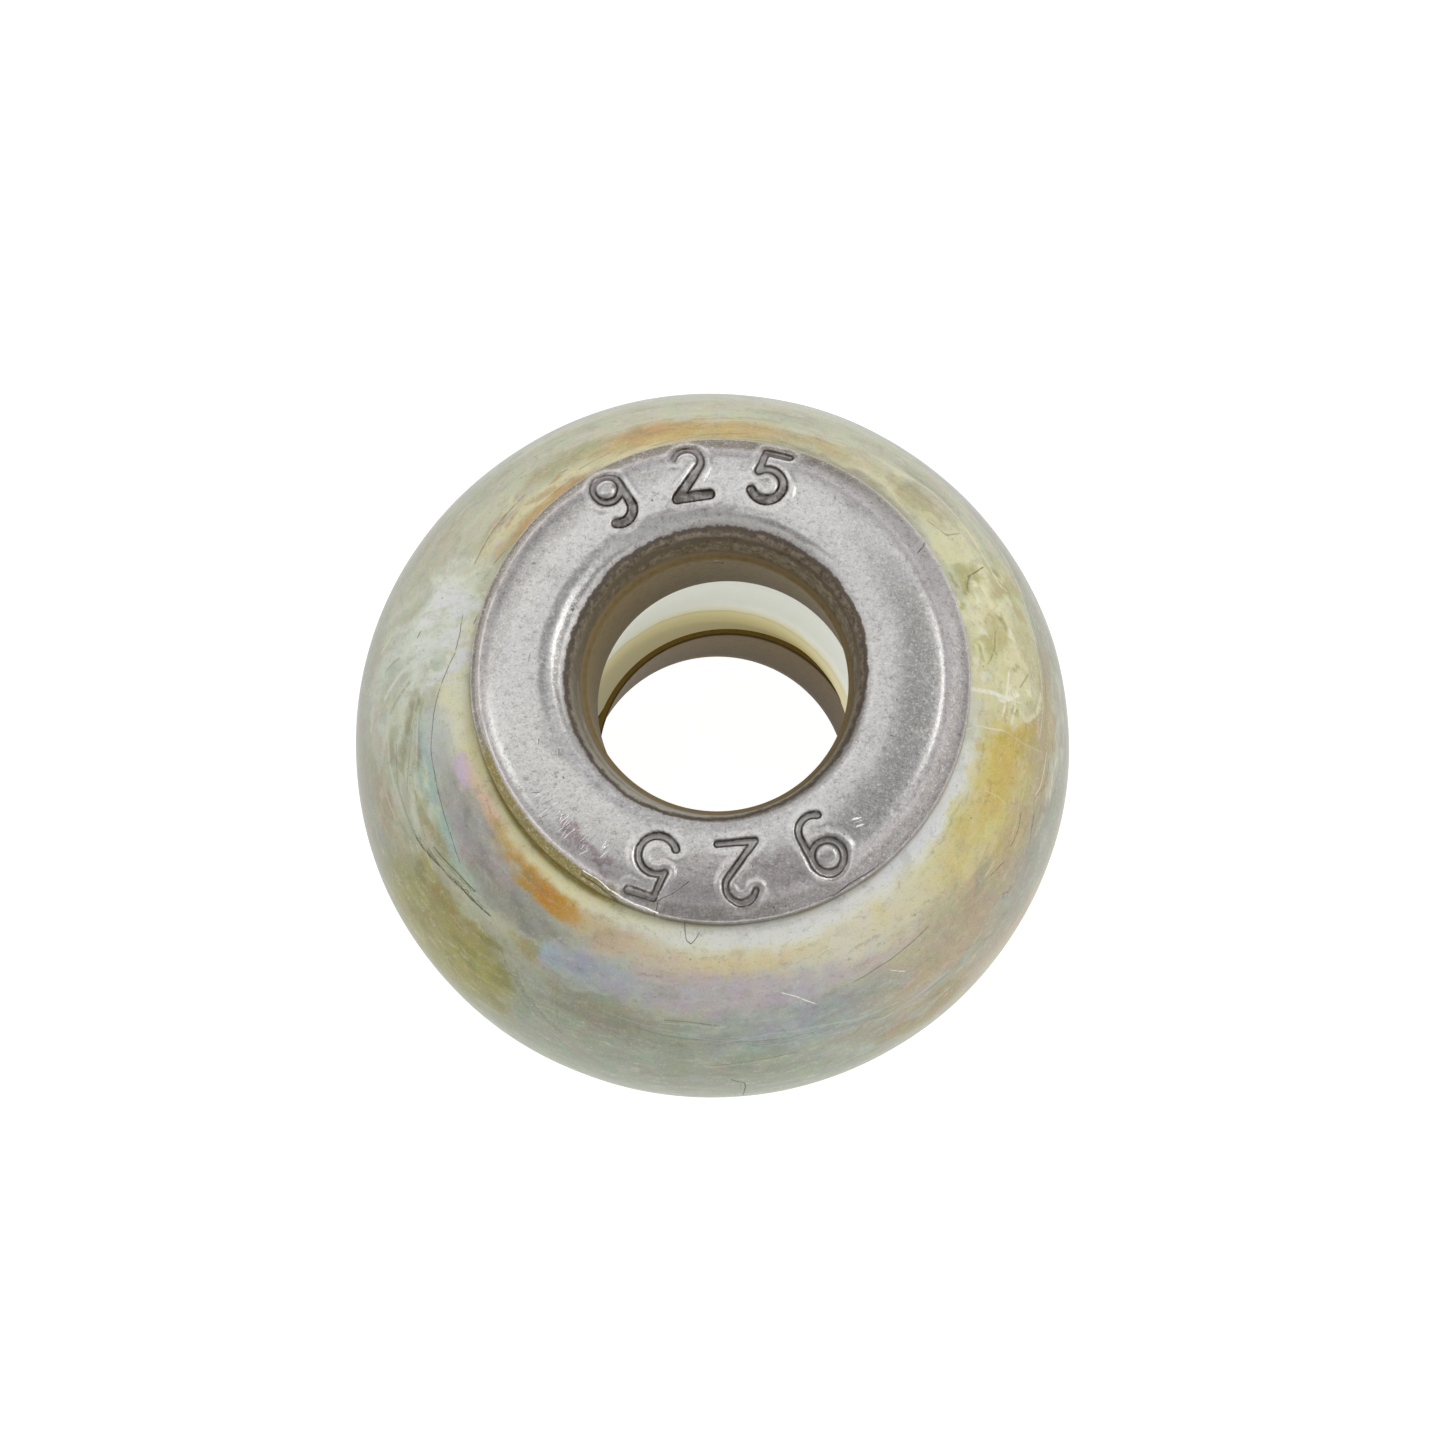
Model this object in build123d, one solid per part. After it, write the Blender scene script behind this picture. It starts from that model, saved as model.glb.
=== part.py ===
"""European charm bead: a wound glass ring lined by two flanged silver eyelets.

Millimetres. The bore runs along Z, with the origin on its axis halfway between the two
eyelets, so the bead lies on the crest of its lower flange. Each flange is stamped twice
with its fineness number, in plain numerals.
"""

from build123d import *
from math import cos, radians, sin
import os

# Glass ring
bead_diameter = 13.0
glass_edge_round = 0.25
glass_mouth_round = 0.30
winding_offset_x = -0.15
winding_offset_y = -0.22

# Eyelets
bead_length = 8.3
flange_diameter = 9.0
flange_height = 0.70
flange_edge = 0.28
flange_edge_round = 0.07
crest_diameter = 5.8
crest_land = 0.20
shoulder_inset = 0.35
shoulder_drop = 0.11
shoulder_round = 0.12
bore_diameter = 4.7
throat_depth = 0.90
sleeve_wall = 0.12
sleeve_length = 2.45
sleeve_end_round = 0.04
root_round = 0.12

# Fits of an eyelet on the glass
sleeve_clearance = 0.05
flange_overhang = 0.03

# Stamped numerals
numeral_height = 1.12
numeral_stroke = 0.15
numeral_depth = 0.07
numeral_centre_radius = 3.74
numeral_pitch = 24.0
numeral_bearing = 97.0
numeral_group = (9, 2, 5)
groups_per_flange = 2

# Sizes that follow from the ones above
crest_height = bead_length / 2
seat_height = crest_height - flange_height
edge_height = seat_height + flange_edge
flange_radius = flange_diameter / 2
crest_radius = crest_diameter / 2
shoulder_radius = flange_radius - shoulder_inset
shoulder_height = crest_height - shoulder_drop
bore_radius = bore_diameter / 2
throat_height = crest_height - throat_depth
sleeve_radius = bore_radius + sleeve_wall
sleeve_end = crest_height - sleeve_length
glass_bore_radius = sleeve_radius + sleeve_clearance
glass_edge_radius = flange_radius - flange_overhang

# Each numeral as strokes of a pen in a cell 1 high, with its origin in the middle.
# A bar has two ends; an arc has a centre, a radius and its two bearings in degrees.
numeral_strokes = {
    9: (
        ("arc", (0.00, 0.22), 0.28, 0, 360),
        ("arc", (-0.57, 0.22), 0.85, -58, 0),
    ),
    2: (
        ("arc", (0.00, 0.24), 0.26, -35, 160),
        ("bar", (0.21, 0.09), (-0.30, -0.50)),
        ("bar", (-0.30, -0.50), (0.33, -0.50)),
    ),
    5: (
        ("bar", (0.28, 0.50), (-0.18, 0.50)),
        ("bar", (-0.18, 0.50), (-0.23, 0.06)),
        ("arc", (-0.02, -0.18), 0.32, -145, 131),
    ),
}


def corner(sketch, radius, height):
    """The corner of a section that lies nearest to a radius and a height."""
    return sketch.vertices().sort_by_distance(Vector(radius, height))[0]


def crown_lines():
    """Draw the top of a flange into the open section, from its crest to its edge."""
    land = Line((crest_radius, crest_height), (crest_radius + crest_land, crest_height))
    TangentArc(land @ 1, (shoulder_radius, shoulder_height), tangent=land % 1)
    Line((shoulder_radius, shoulder_height), (flange_radius, edge_height))


def eyelet_blank():
    """The upper eyelet before stamping: domed flange, flared throat and thin sleeve."""
    with BuildSketch(Plane.XZ) as section:
        with BuildLine():
            crown_lines()
            Polyline(
                (flange_radius, edge_height),
                (flange_radius, seat_height),
                (sleeve_radius, seat_height),
                (sleeve_radius, sleeve_end),
                (bore_radius, sleeve_end),
                (bore_radius, throat_height),
            )
            EllipticalCenterArc(
                (crest_radius, throat_height),
                x_radius=crest_radius - bore_radius,
                y_radius=throat_depth,
                start_angle=90,
                arc_size=90,
            )
        make_face()
        for radius, height, rounding in (
            (shoulder_radius, shoulder_height, shoulder_round),
            (flange_radius, edge_height, flange_edge_round),
            (flange_radius, seat_height, flange_edge_round),
            (sleeve_radius, seat_height, root_round),
            (sleeve_radius, sleeve_end, sleeve_end_round),
            (bore_radius, sleeve_end, sleeve_end_round),
        ):
            fillet(corner(section.sketch_local, radius, height), rounding)
    return revolve(section.sketch, Axis.Z)


def space_above_stamp():
    """The ring of space over a flange, down to the floor of its stamped numerals."""
    top = crest_height + 2 * numeral_depth
    with BuildSketch(Plane.XZ) as section:
        with BuildLine():
            crown_lines()
            Polyline(
                (flange_radius, edge_height),
                (flange_radius, top),
                (crest_radius, top),
                (crest_radius, crest_height),
            )
        make_face()
        fillet(corner(section.sketch_local, shoulder_radius, shoulder_height), shoulder_round)
    return Pos(0, 0, -numeral_depth) * revolve(section.sketch, Axis.Z)


def bar_stroke(start, end):
    """A straight stroke with round ends."""
    along = end - start
    slot = SlotCenterToCenter(along.length, numeral_stroke)
    turn = Vector(1, 0).get_signed_angle(along)
    return Location((start + end) / 2, (0, 0, turn)) * slot


def arc_stroke(middle, radius, first, last):
    """A curved stroke with round ends, or a closed ring when it turns all the way."""
    if last - first >= 360:
        ring = Circle(radius + numeral_stroke / 2) - Circle(radius - numeral_stroke / 2)
        return Pos(middle) * ring
    line = CenterArc((0, 0), radius, first, last - first)
    return Pos(middle) * SlotArc(line, numeral_stroke)


def numeral_face(numeral):
    """One numeral, upright in the XY plane and centred on the origin."""
    cell = numeral_height - numeral_stroke
    face = Sketch()
    for kind, place, *shape in numeral_strokes[numeral]:
        point = Vector(*place) * cell
        if kind == "bar":
            face += bar_stroke(point, Vector(*shape[0]) * cell)
        else:
            share, first, last = shape
            face += arc_stroke(point, share * cell, first, last)
    return face


def stamp():
    """The numerals of one flange as solids, tops outwards and spread round the crown."""
    space = space_above_stamp()
    reach = flange_height + numeral_depth
    cuts = Part()
    for group in range(groups_per_flange):
        middle = numeral_bearing + group * 360 / groups_per_flange
        for place, numeral in enumerate(numeral_group):
            bearing = middle + ((len(numeral_group) - 1) / 2 - place) * numeral_pitch
            x = numeral_centre_radius * cos(radians(bearing))
            y = numeral_centre_radius * sin(radians(bearing))
            where = Location((x, y, seat_height), (0, 0, bearing - 90))
            cuts += extrude(where * numeral_face(numeral), reach) & space
    return cuts


def glass_ring():
    """The wound glass, whose belly runs a little off the axis of its hole."""
    with BuildSketch(Plane.XZ) as section:
        with BuildLine():
            ThreePointArc(
                (glass_edge_radius, -seat_height),
                (bead_diameter / 2, 0),
                (glass_edge_radius, seat_height),
            )
            Polyline(
                (glass_edge_radius, seat_height),
                (0, seat_height),
                (0, -seat_height),
                (glass_edge_radius, -seat_height),
            )
        make_face()
        for height in (seat_height, -seat_height):
            fillet(corner(section.sketch_local, glass_edge_radius, height), glass_edge_round)
    belly = Pos(winding_offset_x, winding_offset_y) * revolve(section.sketch, Axis.Z)
    ring = belly - Cylinder(glass_bore_radius, 2 * bead_length)
    mouths = ring.edges().filter_by(
        lambda edge: edge.geom_type == GeomType.CIRCLE
        and abs(edge.radius - glass_bore_radius) < glass_edge_round / 10
    )
    return fillet(mouths, glass_mouth_round)


upper = eyelet_blank() - stamp()
nodes = {
    "glass_bead": glass_ring(),
    "top_eyelet": upper,
    "bottom_eyelet": Rot(180, 0, 0) * upper,
}

os.makedirs("parts", exist_ok=True)
for name, shape in nodes.items():
    export_step(shape, f"parts/{name}.step")
    print(name, round(shape.volume, 2), "mm3", shape.bounding_box().size)
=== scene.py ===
"""European charm bead: wound lustre glass lined by two stamped silver eyelets, lying on a pale table."""

import logging
import math
from dataclasses import dataclass, replace
from enum import Enum

import bmesh
import bpy
import numpy as np
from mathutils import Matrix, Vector, noise


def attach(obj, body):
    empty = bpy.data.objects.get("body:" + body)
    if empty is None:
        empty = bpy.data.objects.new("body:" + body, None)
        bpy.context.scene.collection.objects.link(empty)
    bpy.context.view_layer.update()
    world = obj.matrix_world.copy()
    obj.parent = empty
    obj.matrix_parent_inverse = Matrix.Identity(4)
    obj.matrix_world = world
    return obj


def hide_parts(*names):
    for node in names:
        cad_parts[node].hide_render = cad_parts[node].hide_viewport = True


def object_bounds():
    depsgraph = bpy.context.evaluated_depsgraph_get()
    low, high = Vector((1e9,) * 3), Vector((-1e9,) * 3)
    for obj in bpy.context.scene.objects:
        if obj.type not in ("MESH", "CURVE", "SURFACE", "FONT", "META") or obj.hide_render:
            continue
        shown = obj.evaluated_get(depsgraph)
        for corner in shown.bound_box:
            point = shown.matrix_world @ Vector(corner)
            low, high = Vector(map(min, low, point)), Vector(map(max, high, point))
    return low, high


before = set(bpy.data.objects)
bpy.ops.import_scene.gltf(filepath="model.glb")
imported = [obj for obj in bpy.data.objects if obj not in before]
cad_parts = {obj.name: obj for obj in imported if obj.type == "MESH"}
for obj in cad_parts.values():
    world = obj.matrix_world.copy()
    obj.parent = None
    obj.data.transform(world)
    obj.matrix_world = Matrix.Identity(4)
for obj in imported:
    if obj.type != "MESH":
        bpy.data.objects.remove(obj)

MM = 0.001
# A distance or height that is stored where the thing it measures is nowhere near.
FAR = 9.0
CAD_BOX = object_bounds()
log = logging.getLogger("charm_bead")

Colour = tuple[float, float, float, float]
Path = tuple[tuple[float, float], ...]


def code_to_paint(code: str) -> np.ndarray:
    """Turn a painter's hex code into red, green and blue from 0 to 1, as a screen shows them."""
    return np.array([int(code[i : i + 2], 16) / 255 for i in (0, 2, 4)])


def paint_to_light(paint: np.ndarray) -> np.ndarray:
    """Turn screen colours into linear light."""
    paint = np.clip(paint, 0.0, 1.0)
    return np.where(paint <= 0.04045, paint / 12.92, ((paint + 0.055) / 1.055) ** 2.4)


def tone(code: str) -> Colour:
    """Turn a painter's hex code into a linear colour with full alpha."""
    red, green, blue = paint_to_light(code_to_paint(code))
    return (red, green, blue, 1.0)


def eased(value: np.ndarray, start: float, end: float) -> np.ndarray:
    """Ease a value from 0 at the start to 1 at the end, which may be the smaller of the two.

    Args:
        value: The values to ease.
        start: Where the result is 0.
        end: Where the result is 1.

    Returns:
        The eased values, with a soft start and end.
    """
    share = np.clip((value - start) / (end - start), 0.0, 1.0)
    return share * share * (3 - 2 * share)


def hill(value: np.ndarray, middle: float, width: float) -> np.ndarray:
    """Give a smooth hill, 1 in the middle and a third of that one width away."""
    return np.exp(-(((value - middle) / width) ** 2))


def lower_of(first: np.ndarray, second: np.ndarray, soft: np.ndarray | float) -> np.ndarray:
    """Take the lower of two heights and round the crease between them."""
    half = (first - second) / 2
    return (first + second) / 2 - np.sqrt(half * half + np.square(soft))


def grain(places: np.ndarray, scale: float, octaves: int = 3, seed: float = 0.0) -> np.ndarray:
    """Give a cloudy noise around zero at places in millimetres.

    Args:
        places: The places, in rows of three numbers.
        scale: The number of grains to the millimetre.
        octaves: The number of finer noises added.
        seed: A shift that gives another noise.

    Returns:
        One value for each place, mostly between -1 and 1.
    """
    points = (places * scale + seed).tolist()
    return np.array([noise.fractal(point, 0.9, 2.0, octaves) for point in points])


def turned(angle: np.ndarray) -> np.ndarray:
    """Bring angles in degrees into the half turn on either side of zero."""
    return (angle + 180.0) % 360.0 - 180.0


def swell(bearing: np.ndarray, middle: float, width: float) -> np.ndarray:
    """Give a smooth swell round the bead, 1 at a middle bearing and a third of that one width away."""
    return hill(turned(bearing - middle), 0.0, width)


@dataclass(frozen=True)
class Mottle:
    """A tone that comes in where a noise rises, or falls, from a start to an end."""

    noise: str
    start: float
    end: float
    strength: float
    colour: str


class Signal:
    """A shader socket that takes part in Python arithmetic."""

    def __init__(self, graph: "Graph", socket: bpy.types.NodeSocket | None) -> None:
        """Wrap one output socket of a graph, or none for a node that only ends it."""
        self.graph = graph
        self.socket = socket

    def _math(self, operation: str, *values: object) -> "Signal":
        """Add a Math node on the given values."""
        return self.graph.node("ShaderNodeMath", {"operation": operation}, dict(enumerate(values)))

    def __add__(self, other: object) -> "Signal":
        """Add."""
        return self._math("ADD", self, other)

    __radd__ = __add__

    def __sub__(self, other: object) -> "Signal":
        """Subtract."""
        return self._math("SUBTRACT", self, other)

    def __rsub__(self, other: object) -> "Signal":
        """Subtract from a number."""
        return self._math("SUBTRACT", other, self)

    def __mul__(self, other: object) -> "Signal":
        """Multiply."""
        return self._math("MULTIPLY", self, other)

    __rmul__ = __mul__

    def __truediv__(self, other: object) -> "Signal":
        """Divide."""
        return self._math("DIVIDE", self, other)

    def __rtruediv__(self, other: object) -> "Signal":
        """Divide a number by this."""
        return self._math("DIVIDE", other, self)

    def __abs__(self) -> "Signal":
        """Drop the sign."""
        return self._math("ABSOLUTE", self)

    def ease(self, start: float, end: float) -> "Signal":
        """Ease a signal, as eased does with numbers.

        Args:
            start: Where the result is 0.
            end: Where the result is 1; it may be the smaller of the two.

        Returns:
            The eased signal.
        """
        settings = {"interpolation_type": "SMOOTHSTEP"}
        if start < end:
            return self.graph.node("ShaderNodeMapRange", settings, {0: self, 1: start, 2: end})
        return 1 - self.graph.node("ShaderNodeMapRange", settings, {0: self, 1: end, 2: start})


class Graph:
    """The node tree of one material."""

    def __init__(self, name: str) -> None:
        """Start an empty material.

        Args:
            name: The material's name.
        """
        self.material = bpy.data.materials.new(name)
        self.material.use_nodes = True
        self.tree = self.material.node_tree
        self.tree.nodes.clear()

    def node(
        self,
        kind: str,
        settings: dict[str, object] | None = None,
        sockets: dict[int | str, object] | None = None,
        output: int | str = 0,
    ) -> Signal:
        """Add any node.

        Args:
            kind: The node's type.
            settings: Properties of the node, set first.
            sockets: Values or signals by the input's name or number.
            output: The output to return, by name or number.

        Returns:
            The chosen output.
        """
        made = self.tree.nodes.new(kind)
        for key, value in (settings or {}).items():
            setattr(made, key, value)
        for key, value in (sockets or {}).items():
            if isinstance(value, Signal):
                self.tree.links.new(value.socket, made.inputs[key])
            else:
                made.inputs[key].default_value = value
        return Signal(self, made.outputs[output] if made.outputs else None)

    def blend(self, share: object, first: object, second: object, mode: str = "MIX") -> Signal:
        """Blend two colours by a share of the second."""
        settings = {"data_type": "RGBA", "blend_type": mode, "clamp_factor": True}
        return self.node("ShaderNodeMix", settings, {0: share, 6: first, 7: second}, 2)

    def millimetres(self) -> Signal:
        """Give the place on the piece, in millimetres."""
        place = self.node("ShaderNodeTexCoord", None, None, "Object")
        return self.node("ShaderNodeVectorMath", {"operation": "SCALE"}, {0: place, "Scale": 1 / MM})

    def cloud(
        self, place: Signal, scale: float, detail: float = 3.0, rough: float = 0.55, output: str = "Fac"
    ) -> Signal:
        """Add a noise of so many grains to the millimetre, from 0 to 1."""
        sockets = {"Vector": place, "Scale": scale, "Detail": detail, "Roughness": rough}
        return self.node("ShaderNodeTexNoise", None, sockets, output)

    def dots(self, place: Signal, scale: float, size: float, rarity: float) -> Signal:
        """Scatter small round dots.

        Args:
            place: Where, in millimetres.
            scale: The number of cells to the millimetre, each with a dot or none.
            size: The radius of a dot, in cells.
            rarity: The share of cells left bare.

        Returns:
            1 inside a dot and 0 outside.
        """
        sockets = {"Vector": place, "Scale": scale}
        cell = self.node("ShaderNodeTexVoronoi", None, sockets, "Color")
        reach = self.node("ShaderNodeTexVoronoi", None, sockets, "Distance")
        return reach.ease(size, size * 0.4) * cell.ease(rarity, rarity + 0.04)

    def mottled(self, colour: Signal, noises: dict[str, Signal], mottles: tuple[Mottle, ...]) -> Signal:
        """Blend tones into a colour where its noises run high or low.

        Args:
            colour: The colour below.
            noises: The noises by name.
            mottles: The tones, from the first to the last.

        Returns:
            The new colour.
        """
        for mottle in mottles:
            share = noises[mottle.noise].ease(mottle.start, mottle.end) * mottle.strength
            colour = self.blend(share, colour, tone(mottle.colour))
        return colour

    def swirled(
        self, place: Signal, factors: tuple[float, float, float], warp: Signal, reach: float
    ) -> Signal:
        """Stretch a place along its axes and let a coloured noise warp it.

        Args:
            place: The place to stretch.
            factors: How much along each axis.
            warp: The coloured noise.
            reach: How far it shifts the place.

        Returns:
            The new place.
        """
        stretched = self.node("ShaderNodeVectorMath", {"operation": "MULTIPLY"}, {0: place, 1: factors})
        sockets = {0: warp, 1: (reach, reach, reach), 2: stretched}
        return self.node("ShaderNodeVectorMath", {"operation": "MULTIPLY_ADD"}, sockets)

    def stored(self, name: str, output: str = "Fac") -> Signal:
        """Read what the mesh stores under a name: a number, or a colour by its output."""
        return self.node("ShaderNodeAttribute", {"attribute_name": name}, None, output)

    def inked(self, colour: Signal, place: Signal, name: str) -> tuple[Signal, Signal]:
        """Draw one layer of stored strokes over a colour.

        Args:
            colour: The colour below.
            place: The place in millimetres, for the strokes' broken edges.
            name: The layer's name.

        Returns:
            The new colour, and the strokes' cover from 0 to 1.
        """
        broken = self.cloud(place, 9.0, 4.0, 0.7)
        line = abs(self.stored(name + "_gap") + (broken - 0.5) * 0.9).ease(1.0, 0.3)
        line = line * self.stored(name + "_share") * broken.ease(0.30, 0.50)
        return self.blend(line, colour, self.stored(name + "_ink", "Color")), line

    def bump(self, height: Signal, strength: float = 1.0) -> Signal:
        """Turn a height in millimetres into a normal."""
        sockets = {"Strength": strength, "Distance": MM, "Height": height}
        return self.node("ShaderNodeBump", None, sockets)

    def finish(self, sockets: dict[int | str, object]) -> bpy.types.Material:
        """Close the material with a Principled surface.

        Args:
            sockets: Values or signals by the surface's inputs.

        Returns:
            The finished material.
        """
        surface = self.node("ShaderNodeBsdfPrincipled", None, sockets)
        self.node("ShaderNodeOutputMaterial", None, {"Surface": surface})
        self.material.cycles.emission_sampling = "NONE"
        return self.material


@dataclass(frozen=True)
class LustreGlass:
    """Milky wound glass under a fired lustre skin, painted from the mesh's own colours."""

    name: str = "lustre_glass"
    mottles: tuple[Mottle, ...] = (
        Mottle("fibre", 0.52, 0.72, 0.34, "e3e3d1"),
        Mottle("fibre", 0.48, 0.28, 0.36, "77775f"),
        Mottle("broad", 0.56, 0.72, 0.14, "dfdfcf"),
        Mottle("broad", 0.45, 0.30, 0.20, "7f806c"),
        Mottle("fine", 0.55, 0.75, 0.22, "e6e4d4"),
        Mottle("fine", 0.45, 0.25, 0.30, "6f6f5a"),
        Mottle("grit", 0.42, 0.25, 0.26, "737259"),
        Mottle("grit", 0.58, 0.75, 0.22, "efeee0"),
    )

    def material(self) -> bpy.types.Material:
        """Build the glass material.

        Returns:
            The material, with the painted lustre, its strokes and its relief.
        """
        graph = Graph(self.name)
        place = graph.millimetres()
        broad = graph.cloud(place, 1.6, 4.0, 0.6)
        fine = graph.cloud(place, 7.0, 5.0, 0.65)
        grit = graph.cloud(place, 26.0, 2.0)
        tint = graph.cloud(place, 2.4, 4.0, 0.6, "Color")
        fibre = self.fibres(graph, tint)
        noises = {"fibre": fibre, "broad": broad, "fine": fine, "grit": grit}
        colour = graph.blend(0.20, graph.stored("paint", "Color"), tint, "OVERLAY")
        colour = graph.mottled(colour, noises, self.mottles)
        colour = graph.blend(graph.dots(place, 2.2, 0.07, 0.72) * 0.5, colour, tone("6a6856"))
        colour, dark = graph.inked(colour, place, "dark")
        colour, light = graph.inked(colour, place, "light")
        colour = self.hole(graph, colour, broad)
        # Painted glow: the hole and the seat round it glow in their own colour, standing for light that
        # passes through the milky glass.
        glow = graph.blend(graph.stored("glow"), (0.0, 0.0, 0.0, 1.0), colour)
        height = fibre * 0.006 + fine * 0.005 + broad * 0.014 + light * 0.004 - dark * 0.008
        return graph.finish(
            {
                "Base Color": colour,
                "Roughness": 0.24 + fine * 0.20,
                "IOR": 1.42,
                "Specular IOR Level": 0.38,
                "Emission Color": glow,
                "Emission Strength": 0.42,
                "Normal": graph.bump(height, 0.6),
            }
        )

    def fibres(self, graph: Graph, tint: Signal) -> Signal:
        """Draw out the lustre in fine streaks along the winding, and across it where it is feathery.

        Args:
            graph: The material's graph.
            tint: A coloured noise that bends the streaks.

        Returns:
            The streaks, from 0 to 1.
        """
        winding = graph.stored("winding", "Vector")
        along = graph.cloud(graph.swirled(winding, (1.0, 1.0, 4.0), tint, 1.6), 2.0, 5.0, 0.72)
        across = graph.cloud(graph.swirled(winding, (4.5, 4.5, 1.0), tint, 1.6), 2.0, 5.0, 0.72)
        feathery = graph.stored("feathery")
        return along * (1 - feathery) + across * feathery

    def hole(self, graph: Graph, colour: Signal, broad: Signal) -> Signal:
        """Paint the hole of the glass: milky white, with a yellow band in its lower part.

        Args:
            graph: The material's graph.
            colour: The colour below.
            broad: A cloudy noise that bends the band.

        Returns:
            The new colour.
        """
        level = graph.stored("hole") + (broad - 0.5) * 0.35
        side = graph.stored("hole_side")
        inside = graph.stored("hole").ease(6.0, 5.0)
        colour = graph.blend(inside, colour, tone("cdd0c8"))
        colour = graph.blend(inside * level.ease(-0.3, -0.9) * 0.45, colour, tone("d2d4c2"))
        colour = graph.blend(inside * level.ease(-0.92, -1.02) * 0.85, colour, tone("cfc69f"))
        colour = graph.blend(inside * level.ease(-0.55, -1.1) * side * 0.6, colour, tone("bdb070"))
        line = abs(level + 1.02).ease(0.09, 0.02)
        return graph.blend(inside * line * 0.45, colour, tone("b0a564"))


@dataclass(frozen=True)
class StampedSilver:
    """Worn sterling silver, painted from the mesh's own colours."""

    name: str = "stamped_silver"
    mottles: tuple[Mottle, ...] = (
        Mottle("broad", 0.52, 0.75, 0.25, "dad8d5"),
        Mottle("broad", 0.48, 0.25, 0.34, "8f8a89"),
        Mottle("satin", 0.52, 0.68, 0.38, "f0efec"),
        Mottle("satin", 0.48, 0.32, 0.50, "77716f"),
        Mottle("grit", 0.54, 0.68, 0.42, "f4f3f0"),
        Mottle("grit", 0.46, 0.32, 0.44, "756f6d"),
    )

    def material(self) -> bpy.types.Material:
        """Build the silver material.

        Returns:
            The material, with its grain, pits, stamped numerals and browned throat.
        """
        graph = Graph(self.name)
        place = graph.millimetres()
        broad = graph.cloud(place, 1.5, 4.0, 0.6)
        satin = graph.cloud(place, 9.0, 6.0, 0.75)
        grit = graph.cloud(place, 24.0, 3.0, 0.7)
        noises = {"broad": broad, "satin": satin, "grit": grit}
        colour = graph.mottled(graph.stored("paint", "Color"), noises, self.mottles)
        pits = graph.dots(place, 3.1, 0.10, 0.70) + graph.dots(place, 6.3, 0.13, 0.80)
        colour = graph.blend(pits * 0.75, colour, tone("625b58"))
        colour, stain = self.numerals(graph, place, colour)
        colour, brown = self.throat(graph, place, colour)
        colour, dark = graph.inked(colour, place, "dark")
        colour, light = graph.inked(colour, place, "light")
        tarnish = brown * 0.9 + stain * 0.8 + graph.stored("glue")
        height = satin * 0.008 + grit * 0.0030 - pits * 0.006 - dark * 0.010 + light * 0.005
        return graph.finish(
            {
                "Base Color": colour,
                # Painted glow: the light strokes, such as the rim glints, bright nicks and white scratches,
                # glow a little whatever the lamps do.
                "Emission Color": graph.blend(light, tone("000000"), tone("ffffff")),
                "Emission Strength": 0.30,
                "Metallic": 1.0 - tarnish * 0.85,
                "Roughness": 0.22 + satin * 0.16 + tarnish * 0.30,
                "Specular IOR Level": 0.3,
                "Normal": graph.bump(height, 0.85),
            }
        )

    def numerals(self, graph: Graph, place: Signal, colour: Signal) -> tuple[Signal, Signal]:
        """Darken the two edges of every stamped stroke and paint a highlight on the burr round it.

        Args:
            graph: The material's graph.
            place: The place in millimetres.
            colour: The colour below.

        Returns:
            The new colour, and how stained it is from 0 to 1.
        """
        worn = graph.cloud(place, 6.0, 5.0, 0.75)
        blotch = graph.cloud(place, 2.6, 2.0, 0.5)
        heavy = graph.stored("heavy")
        gap = graph.stored("pen") + (worn - 0.5) * 0.055
        floor = gap.ease(0.082, 0.050)
        edge = abs(gap - 0.068).ease(0.032, 0.004) * worn.ease(0.34, 0.48) * blotch.ease(0.28, 0.46)
        burr = abs(gap - 0.155).ease(0.085, 0.0)
        # Painted highlight: the raised burr round each stroke is painted lighter.
        colour = graph.blend(burr * worn.ease(0.30, 0.55) * 0.35, colour, tone("f4f3f0"))
        colour = graph.blend(floor * (0.22 + heavy * 0.50), colour, tone("615955"))
        stain = edge * (0.75 + heavy * 0.25) + floor * heavy * worn.ease(0.40, 0.56) * 0.85
        return graph.blend(stain, colour, tone("3a2f22")), floor * 0.1 + stain * 0.8

    def throat(self, graph: Graph, place: Signal, colour: Signal) -> tuple[Signal, Signal]:
        """Brown the throat with a mottled dark ring, with painted light on its lit side, and tarnish the wall
        below it over its shaded paint.

        Args:
            graph: The material's graph.
            place: The place in millimetres.
            colour: The colour below.

        Returns:
            The new colour, and how tarnished it is from 0 to 1.
        """
        ragged = graph.cloud(place, 4.0, 5.0, 0.75)
        mottled = graph.cloud(place, 8.0, 5.0, 0.75)
        inward = graph.stored("inward") + (ragged - 0.5) * 0.20
        wall = graph.stored("wall")
        haze = inward.ease(-0.09, 0.02)
        ring = inward.ease(-0.005, 0.035)
        cone = inward.ease(0.07, 0.14) * (1 - wall)
        inner_line = abs(inward - 0.22).ease(0.045, 0.010) * mottled.ease(0.40, 0.55)
        colour = graph.blend(haze * 0.35, colour, tone("8a8280"))
        dark = graph.blend(mottled.ease(0.30, 0.72), tone("3a2e1d"), tone("68573f"))
        pale = graph.blend(mottled.ease(0.28, 0.72), tone("65563f"), tone("aea292"))
        # Painted light: the cone is paler on the side at bearing about 246, where it is lit.
        pale = graph.blend(graph.stored("lit") * 0.9, pale, tone("d8d4ce"))
        colour = graph.blend(ring * (0.75 + mottled * 0.25), colour, dark)
        colour = graph.blend(cone, colour, pale)
        colour = graph.blend(inner_line * 0.45, colour, tone("3f3325"))
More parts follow.
